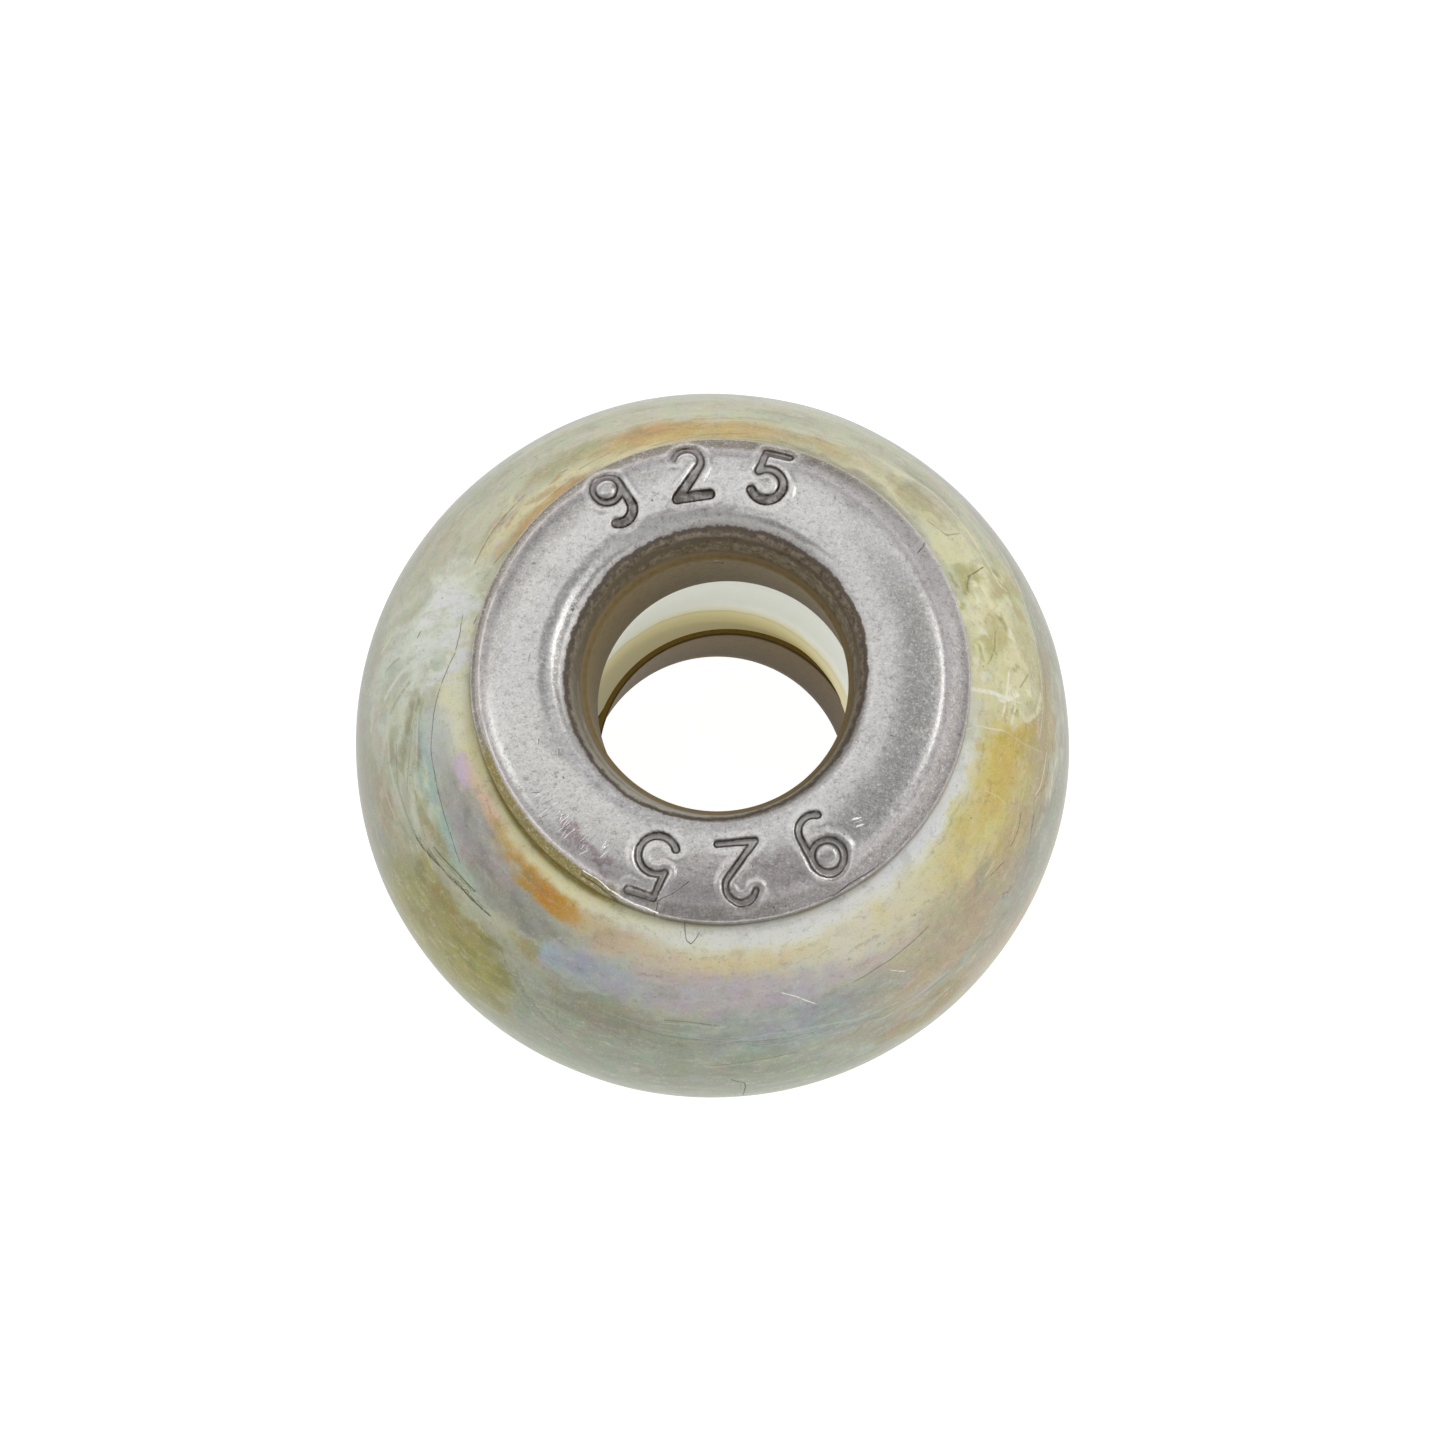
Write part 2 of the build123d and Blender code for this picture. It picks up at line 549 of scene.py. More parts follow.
        # The wall's paint holds painted shade, darker downwards.
        painted = graph.stored("shaded_wall_paint", "Color")
        stained = graph.blend(mottled.ease(0.45, 0.70) * 0.40, painted, tone("4a4029"))
        end = (graph.stored("to_end") + (ragged - 0.5) * 0.16).ease(0.07, 0.02)
        stained = graph.blend(end * 0.75, stained, tone("3a301e"))
        return graph.blend(wall, colour, stained), ring * (1 - cone * 0.45) * (1 - wall) + wall


@dataclass(frozen=True)
class LightTable:
    """The plain pale table, lit a little from within, as a product photographer's is."""

    name: str = "light_table"
    glow: float = 0.95

    def material(self) -> bpy.types.Material:
        """Build the table's material.

        Returns:
            The material, faintly clouded and glowing.
        """
        graph = Graph(self.name)
        cloud = graph.cloud(graph.millimetres(), 0.4, 3.0)
        colour = graph.blend(cloud * 0.3, tone("8c8c8c"), tone("888888"))
        return graph.finish(
            {
                "Base Color": colour,
                "Roughness": 0.8,
                "Specular IOR Level": 0.1,
                "Emission Color": (1.0, 1.0, 1.0, 1.0),
                "Emission Strength": self.glow,
            }
        )


@dataclass(frozen=True)
class Patch:
    """A soft patch of colour, placed by bearing in degrees and by level on its skin."""

    name: str
    bearing: float
    level: float
    half_length: float
    half_width: float
    colour: str
    strength: float = 1.0
    soft: float = 1.1
    slant: float = 0.0
    ragged: float = 1.0


@dataclass(frozen=True)
class Stroke:
    """A brush stroke or a scratch along a path of bearings and levels; its width is in millimetres."""

    name: str
    path: Path
    width: float
    colour: str
    strength: float = 0.8

    def turned_over(self, turn: float) -> "Stroke":
        """Give the same stroke on the mirrored level, turned round the skin in degrees."""
        path = tuple((bearing + turn, -level) for bearing, level in self.path)
        return replace(self, path=path)


@dataclass(frozen=True)
class Flakes:
    """A field of small ragged patches between two corners, given by bearing and level."""

    name: str
    first: tuple[float, float]
    last: tuple[float, float]
    count: int
    size: tuple[float, float]
    colours: tuple[str, ...]
    strength: float = 0.7
    slants: tuple[float, float] = (-0.6, 0.6)
    soft: float = 0.6

    def patches(self, dice: np.random.Generator) -> list[Patch]:
        """Scatter the patches.

        Args:
            dice: The source of chance.

        Returns:
            The patches.
        """
        made = []
        for i in range(self.count):
            bearing = self.first[0] + (self.last[0] - self.first[0]) * dice.uniform(0, 1)
            level = self.first[1] + (self.last[1] - self.first[1]) * dice.uniform(0, 1)
            half_length = self.size[0] * dice.uniform(0.5, 1.4)
            half_width = self.size[1] * dice.uniform(0.5, 1.4)
            colour = self.colours[i % len(self.colours)]
            slant = dice.uniform(*self.slants)
            place = (bearing, level, half_length, half_width)
            made.append(Patch(self.name, *place, colour, self.strength, self.soft, slant))
        return made


@dataclass(frozen=True)
class Brushwork:
    """A group of loose strokes that start along a line and run much the same way."""

    name: str
    first: tuple[float, float]
    last: tuple[float, float]
    sweep: tuple[float, float]
    count: int
    width: float
    colours: tuple[str, ...]
    strength: float = 0.6
    scatter: float = 2.0

    def strokes(self, dice: np.random.Generator) -> list[Stroke]:
        """Lay out the strokes with a loose hand.

        Args:
            dice: The source of chance.

        Returns:
            The strokes.
        """
        made = []
        for i in range(self.count):
            share = (i + dice.uniform(0.0, 1.0)) / self.count
            bearing = self.first[0] + (self.last[0] - self.first[0]) * share
            level = self.first[1] + (self.last[1] - self.first[1]) * share
            level += dice.uniform(-1, 1) * self.scatter
            length = dice.uniform(0.35, 1.1)
            bend = dice.uniform(-0.12, 0.12)
            over, down = self.sweep[0] * length, self.sweep[1] * length
            middle = (bearing + over * (0.5 + bend), level + down * (0.5 - bend))
            path = ((bearing, level), middle, (bearing + over, level + down))
            width = self.width * dice.uniform(0.5, 1.5)
            made.append(Stroke(self.name, path, width, self.colours[i % len(self.colours)], self.strength))
        return made


class InkLayer:
    """Strokes stored on a mesh as a signed distance, so that they stay sharp between its points."""

    # Millimetres that are stored beyond a stroke's sides, how softly they end, and the same at its tips.
    margin: float = 0.11
    fade: float = 0.06
    tip_fade: float = 0.05

    def __init__(self, count: int) -> None:
        """Start an empty layer.

        Args:
            count: The number of points that it covers.
        """
        self.reach = np.full(count, FAR)
        self.gap = np.full(count, FAR)
        self.share = np.zeros(count)
        self.ink = np.zeros((count, 3))

    def add(self, reach: np.ndarray, side: np.ndarray, beyond: np.ndarray, stroke: Stroke) -> None:
        """Lay one stroke where it is the nearest.

        Args:
            reach: The distance of every point from the stroke, in millimetres.
            side: 1 on its left and -1 on its right.
            beyond: How far a point lies past the stroke's ends.
            stroke: The stroke.
        """
        edge = stroke.width / 2 + self.margin
        near = reach < np.minimum(self.reach, edge)
        share = eased(reach, edge, edge - self.fade) * eased(beyond, self.tip_fade, 0.0) * stroke.strength
        self.reach = np.where(near, reach, self.reach)
        self.gap = np.where(near, side * reach / stroke.width * 2, self.gap)
        self.share = np.where(near, share, self.share)
        self.ink[near] = paint_to_light(code_to_paint(stroke.colour))


class Canvas:
    """A skin laid out by bearing and level, with the colour and the strokes painted on it."""

    # The mean paint over which a stroke counts as light, and how much of the patches' wander it follows.
    light_paint: float = 0.62
    stroke_wander: float = 0.1

    def __init__(
        self,
        bearing: np.ndarray,
        level: np.ndarray,
        places: np.ndarray,
        level_size: float,
        ground: str,
        ragged: float,
    ) -> None:
        """Lay out the skin.

        Args:
            bearing: The bearing of each point, in degrees.
            level: Its level, in the skin's own unit.
            places: Its place in millimetres, in rows of three.
            level_size: The millimetres in one unit of level.
            ground: The colour that is painted first.
            ragged: How far the edges of patches wander, in millimetres.
        """
        self.bearing = bearing
        self.level = level
        self.level_size = level_size
        self.degree_size = np.hypot(places[:, 0], places[:, 1]) * math.radians(1)
        self.colour = np.tile(code_to_paint(ground), (len(bearing), 1))
        self.dark = InkLayer(len(bearing))
        self.light = InkLayer(len(bearing))
        broad = [grain(places, 0.55, 2, seed) for seed in (3.1, 47.3)]
        feather = [grain(places, 2.6, 3, seed) for seed in (11.7, 83.9)]
        self.sideways = (broad[0] * 0.7 + feather[0] * 0.55) * ragged
        self.upwards = (broad[1] * 0.4 + feather[1] * 0.35) * ragged

    def cover(self, share: np.ndarray, code: str) -> None:
        """Paint a colour by a share of cover."""
        share = np.clip(share, 0.0, 1.0)[:, None]
        self.colour += (code_to_paint(code) - self.colour) * share

    def enliven(self, vivid: float, contrast: float) -> None:
        """Strengthen every colour against its own grey, and that grey against the middle one."""
        grey = self.colour.mean(axis=1, keepdims=True)
        middle = grey.mean()
        self.colour = middle + (grey - middle) * (1 + contrast) + (self.colour - grey) * (1 + vivid)

    def patch(
        self, patch: Patch, weight: np.ndarray | float = 1.0, shift: float = 0.0, sign: int = 1
    ) -> None:
        """Paint one soft patch.

        Args:
            patch: The patch.
            weight: A share by which it shows.
            shift: A turn of the patch round the skin, in degrees.
            sign: -1 paints it on the mirrored level.
        """
        along = turned(self.bearing - patch.bearing - shift) + self.sideways * patch.ragged / self.degree_size
        across = self.level * sign - patch.level + self.upwards * patch.ragged / self.level_size
        across -= along * patch.slant
        reach = np.hypot(along / patch.half_length, across / patch.half_width)
        share = eased(reach, 1 + patch.soft / 2, max(0.0, 1 - patch.soft / 2))
        self.cover(share * patch.strength * weight, patch.colour)

    def draw(self, stroke: Stroke) -> None:
        """Draw one stroke, on the light layer where its colour is light and else on the dark one.

        Args:
            stroke: The stroke.
        """
        count = len(self.bearing)
        reach, side, beyond = np.full(count, np.inf), np.ones(count), np.zeros(count)
        last = len(stroke.path) - 2
        for i, ((b0, l0), (b1, l1)) in enumerate(zip(stroke.path, stroke.path[1:])):
            x = turned(self.bearing - b0) * self.degree_size + self.sideways * self.stroke_wander
            y = (self.level - l0) * self.level_size + self.upwards * self.stroke_wander
            ax, ay = (b1 - b0) * self.degree_size, (l1 - l0) * self.level_size
            length = np.hypot(ax, ay)
            share = (x * ax + y * ay) / length**2
            held = np.clip(share, 0, 1)
            near = np.hypot(x - held * ax, y - held * ay)
            before = np.where((share < 0) & (i == 0), -share, 0)
            after = np.where((share > 1) & (i == last), share - 1, 0)
            closer = near < reach
            reach = np.where(closer, near, reach)
            side = np.where(closer, np.sign(ax * y - ay * x), side)
            beyond = np.where(closer, (before + after) * length, beyond)
        layer = self.light if code_to_paint(stroke.colour).mean() > self.light_paint else self.dark
        layer.add(reach, side, beyond, stroke)

    def layers(self) -> dict[str, np.ndarray]:
        """Give the painted colours and the strokes as a mesh stores them.

        Returns:
            One array for each name, with a number or a colour for each point.
        """
        full = np.ones(len(self.bearing))
        layers = {"paint": np.column_stack([paint_to_light(self.colour), full])}
        for name, layer in (("dark", self.dark), ("light", self.light)):
            layers[name + "_gap"] = layer.gap
            layers[name + "_share"] = layer.share
            layers[name + "_ink"] = np.column_stack([layer.ink, full])
        return layers


class Outline:
    """A half section drawn as radius and height, in millimetres."""

    def __init__(self, radius: float, height: float) -> None:
        """Start at a point."""
        self.points: list[tuple[float, float]] = [(radius, height)]
        self.marks: dict[str, int] = {}

    def mark(self, name: str) -> None:
        """Note the number of the last point under a name."""
        self.marks[name] = len(self.points) - 1

    def line(self, radius: float, height: float, steps: int = 1) -> "Outline":
        """Draw straight to a point.

        Args:
            radius: The radius of the end point.
            height: The height of the end point.
            steps: The number of equal steps.

        Returns:
            This outline.
        """
        r0, z0 = self.points[-1]
        for i in range(1, steps + 1):
            share = i / steps
            self.points.append((r0 + (radius - r0) * share, z0 + (height - z0) * share))
        return self

    def arc(self, heading: float, radius: float, height: float, steps: int) -> "Outline":
        """Draw an arc that starts along a heading and ends at a point.

        Args:
            heading: The first direction, in degrees from outwards towards up.
            radius: The radius of the end point.
            height: The height of the end point.
            steps: The number of chords.

        Returns:
            This outline.
        """
        r0, z0 = self.points[-1]
        chord = math.hypot(radius - r0, height - z0)
        first = math.radians(heading)
        half = math.atan2(height - z0, radius - r0) - first
        half = math.atan2(math.sin(half), math.cos(half))
        for i in range(1, steps + 1):
            turn = half * i / steps
            reach = chord * math.sin(turn) / math.sin(half) if abs(half) > 1e-6 else chord * i / steps
            self.points.append((r0 + reach * math.cos(first + turn), z0 + reach * math.sin(first + turn)))
        return self


def wrapped_sheet(places: np.ndarray, layers: dict[str, np.ndarray]) -> bmesh.types.BMesh:
    """Lay a grid over rows and columns of places and weld it where they meet.

    Args:
        places: The places in millimetres, as rows by columns by three.
        layers: Numbers or colours to store by name, one for each place in the same order.

    Returns:
        The closed mesh, in metres, with its faces turned outwards.
    """
    rows, columns = places.shape[0] - 1, places.shape[1] - 1
    mesh = bmesh.new()
    bmesh.ops.create_grid(mesh, x_segments=columns, y_segments=rows, size=1.0)
    stores = []
    for name, values in layers.items():
        kinds = mesh.verts.layers.float if values.ndim == 1 else mesh.verts.layers.float_color
        stores.append((kinds.new(name), values.tolist()))
    metres = (places.reshape(-1, 3) * MM).tolist()
    for vert in mesh.verts:
        row = round((vert.co.y + 1) / 2 * rows)
        column = round((vert.co.x + 1) / 2 * columns)
        index = row * (columns + 1) + column
        vert.co = metres[index]
        for store, values in stores:
            vert[store] = values[index]
    bmesh.ops.remove_doubles(mesh, verts=mesh.verts[:], dist=0.0002 * MM)
    bmesh.ops.recalc_face_normals(mesh, faces=mesh.faces[:])
    return mesh


def placed(mesh: bmesh.types.BMesh, name: str, material: bpy.types.Material, node: str, slot: str) -> None:
    """Turn a finished mesh into a piece that stands for a node of the frame.

    Args:
        mesh: The mesh, which is freed.
        name: The piece's name.
        material: Its finish.
        node: The frame's node that it stands for.
        slot: The record's material slot.
    """
    data = bpy.data.meshes.new(name)
    mesh.to_mesh(data)
    mesh.free()
    data.materials.append(material)
    data.shade_smooth()
    piece = bpy.data.objects.new(name, data)
    bpy.context.scene.collection.objects.link(piece)
    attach(piece, "root")
    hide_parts(node)
    log.info("%s: %d faces, %s", name, len(data.polygons), slot)


# How far the bore runs off the axis along X and Y at some heights, in millimetres.
LEAN_HEIGHTS = (-4.15, -3.7, -1.7, 1.7, 3.3, 3.8)
LEAN_X = (0.0, 0.01, -0.118, 0.136, -0.05, -0.10)
LEAN_Y = (-0.03, -0.07, 0.079, 0.034, 0.0, 0.0)

# Bearings, and how far the glue stands out from under the flange there, in millimetres.
GLUE_CRESCENT = ((192, 205, 225, 240, 250), (0.0, 0.05, 0.06, 0.05, 0.0))
# Bearings, and how far the rim falls short of its round there, which shows the glue.
RIM_RECESS = ((188, 200, 215, 232, 244, 256), (0.0, 0.03, 0.045, 0.05, 0.03, 0.0))
# Bearings, and the radius at which the brown of the throat starts there.
BROWN_EDGE = (
    (0, 20, 45, 90, 130, 155, 180, 215, 240, 270, 300, 340, 360),
    (2.77, 2.82, 2.83, 2.80, 2.75, 2.70, 2.73, 2.77, 2.79, 2.73, 2.71, 2.71, 2.77),
)


def lean(height: np.ndarray) -> tuple[np.ndarray, np.ndarray]:
    """Give how far the bore runs off the axis along X and Y at a height, in millimetres."""
    return np.interp(height, LEAN_HEIGHTS, LEAN_X), np.interp(height, LEAN_HEIGHTS, LEAN_Y)


LUSTRE = (
    Patch("grey_green_low", 262, 8, 62, 30, "a3a895", 1.0, 0.9),
    Patch("tan_low_right", 332, 18, 34, 26, "b8ab92", 1.0, 0.9),
    Patch("clear_shell_right", 18, 12, 56, 15, "a6a596", 1.0, 0.5, -0.05),
    Patch("shade_left", 178, 8, 42, 15, "a0a08f", 1.0, 1.0, -0.12),
    Patch("shade_top", 100, 18, 60, 7, "adb0a2", 0.9, 1.2),
    Patch("mint_ring_low", 292, 62, 62, 8, "cfd1c6", 1.0, 0.9, -0.05),
    Patch("cream_ring_left", 215, 63.5, 45, 4.5, "d0cba9", 1.0, 0.9),
    Patch("gold_top", 101, 49, 14, 5.5, "c4ab76", 0.95),
    Patch("orange_top", 103, 46.5, 9, 3.0, "bb9e70", 0.8),
    Patch("peach_flange_top", 129, 57.8, 15, 2.6, "bfa47b", 0.95, 0.9, 0.06),
    Patch("olive_top_left", 121, 45, 9, 2.8, "aaa481", 0.8),
    Patch("cream_top_left", 132, 53, 16, 2.6, "d2cba8", 0.9, 1.0, 0.05),
    Patch("cream_flange_top", 110, 54.6, 6, 1.6, "d5cba6", 0.8),
    Patch("mauve_streak_bed", 138, 49, 9, 1.8, "b5ab98", 0.6),
    Patch("ice_left", 164, 50, 12, 9.5, "dce1da", 1.0),
    Patch("ice_left_low", 170, 40, 9, 12, "d3d9cb", 0.9, 1.5, -1.0),
    Patch("olive_left", 181, 37, 7, 7, "b9baa2", 0.7),
    Patch("cream_left", 180, 58.5, 15, 5, "d9d5bb", 0.9, 0.8, -0.12),
    Patch("grey_lilac_left", 191, 50.5, 9, 6.5, "c3c8c2", 0.9, 0.9),
    Patch("mauve_crescent", 217, 51.5, 22, 6.5, "a39f9c", 0.95, 1.0, -0.06),
    Patch("green_mauve_crescent", 228, 47, 12, 4.5, "9d9c8e", 0.9),
    Patch("ice_blue_band", 203, 44.5, 17, 3.2, "abbdb4", 0.95, 1.3, -0.10),
    Patch("pale_streaks_left", 187, 36, 12, 7, "bbbfa9", 0.8),
    Patch("olive_streak", 207, 40, 8, 2.0, "99956e", 0.7, 1.5, 0.08),
    Patch("lilac_spot", 198, 58.2, 3.6, 2.4, "c8b6ca", 0.85),
    Patch("pink_edge_left", 207, 60.0, 9, 2.2, "cfb7a3", 0.9, 1.2),
    Patch("ochre_crescent", 226, 57.4, 14, 2.8, "b5935a", 0.95, 1.3, -0.10),
    Patch("ochre_crescent_end", 233.0, 56.4, 7.0, 3.4, "b58b45", 0.95, 0.8),
    Patch("olive_patch", 218, 16, 14.5, 17, "a09b62", 1.0, 0.9),
    Patch("moss_patch", 225, 22, 7.0, 10, "a8a25c", 0.9, 1.2),
    Patch("ochre_band_left", 218, 31.8, 8, 2.4, "a3925a", 0.8, 1.5, 0.12),
    Patch("ochre_fleck", 233, 40, 3.5, 3.0, "a0946a", 0.7),
    Patch("tan_smudge_left", 195, 24, 6, 4, "aea083", 0.7),
    Patch("sky_fleck", 238.5, 43, 3.0, 4.0, "a6b8ba", 0.9),
    Patch("blue_low", 248, 43.5, 11, 5.5, "a6acb0", 0.95, 1.4),
    Patch("violet_low", 244, 45, 3.5, 3.0, "9fa2ae", 0.6),
    Patch("brown_low", 250, 32, 9, 4.5, "96917e", 0.6),
    Patch("peach_low", 248, 55, 10, 3.6, "bfad93", 0.8),
    Patch("pink_low", 266, 50.5, 17, 4.0, "bcafa6", 0.85),
    Patch("sand_low", 280, 53, 22, 3.2, "c9be9e", 0.85, 1.5),
    Patch("lavender_low", 277, 43, 22, 5.6, "b3acb0", 0.9),
    Patch("blue_grey_low", 286, 32, 16, 6.5, "a3a8ab", 0.85),
    Patch("mint_waves_low", 283, 25, 16, 4.5, "a6b0aa", 0.7),
    Patch("beige_low_right", 305, 50, 12, 6, "cac5b4", 0.9),
    Patch("yellow_fleck", 308, 52, 2.5, 4.0, "cbc298", 0.8),
    Patch("lilac_low_right", 303, 41, 6, 2.4, "bdb0b0", 0.6),
    Patch("ochre_edge_right", 307, 9, 8, 6.5, "a2966f", 0.9, 0.9),
    Patch("cream_right", 320, 50, 11, 6.5, "cbc6ac", 0.9),
    Patch("tan_right", 343, 35, 15, 6.5, "c2b48b", 0.9),
    Patch("tan_shell_right", 357, 26, 15, 5, "b8ab84", 0.85, 1.0),
    Patch("yellow_right", 342, 46, 18, 7.8, "cabd86", 0.95, 1.3, -0.05),
    Patch("yellow_core", 330, 46.5, 5, 2.8, "c6b986", 0.6),
    Patch("yellow_core_right", 349, 44.5, 11, 5.6, "c5b26a", 0.85),
    Patch("gold_core_right", 355, 41.5, 5.0, 6.4, "c3ab5c", 0.8, 1.2),
    Patch("ice_flange_right", 331, 59.0, 21, 4.0, "d5d8cf", 1.0, 0.9, -0.10),
    Patch("flaky_right", 351, 21, 5.0, 3.5, "c5c1ad", 0.8, 0.8, -0.2),
    Patch("foil_right", 12, 43, 17, 13, "cbc7a4", 1.0, 0.3, -0.15),
    Patch("foil_shade", 11, 47, 5.5, 5, "b5ac80", 0.75),
    Patch("foil_green", 10, 38, 3.5, 6, "b3ac7c", 0.6, 1.5, -0.6),
    Patch("foil_cream", 4, 36, 4, 5, "d0cca4", 0.8),
    Patch("foil_cream_top", 19, 51, 4, 3.5, "cfcaa4", 0.8),
    Patch("moss_right", 26.5, 47.5, 2.6, 4.0, "afab7a", 0.8, 0.9),
    Patch("cream_window", 33.5, 44, 5.0, 10, "d0ceac", 1.0, 0.35, 0.0),
    Patch("khaki_right", 45.5, 44.5, 9.5, 4.8, "b0aa8a", 1.0, 0.6, 0.06),
    Patch("cream_flange_right", 47, 49.6, 14, 1.4, "d2cba8", 0.6),
    Patch("shade_flange_top", 66, 53.6, 26, 2.4, "a5a08a", 0.85, 1.0),
    Patch("grey_shell_patch", 50, 34, 9, 4.5, "b3b29d", 0.7),
    Patch("tan_flange_top", 72, 47, 12, 3.4, "b8ac86", 0.9, 1.2, 0.05),
    Patch("gold_flange_top", 85, 50, 8, 3.8, "c1ad7a", 0.95, 1.2, 0.05),
    Patch("lilac_shell", 46, 18, 6, 3.5, "b2afb0", 0.6),
)

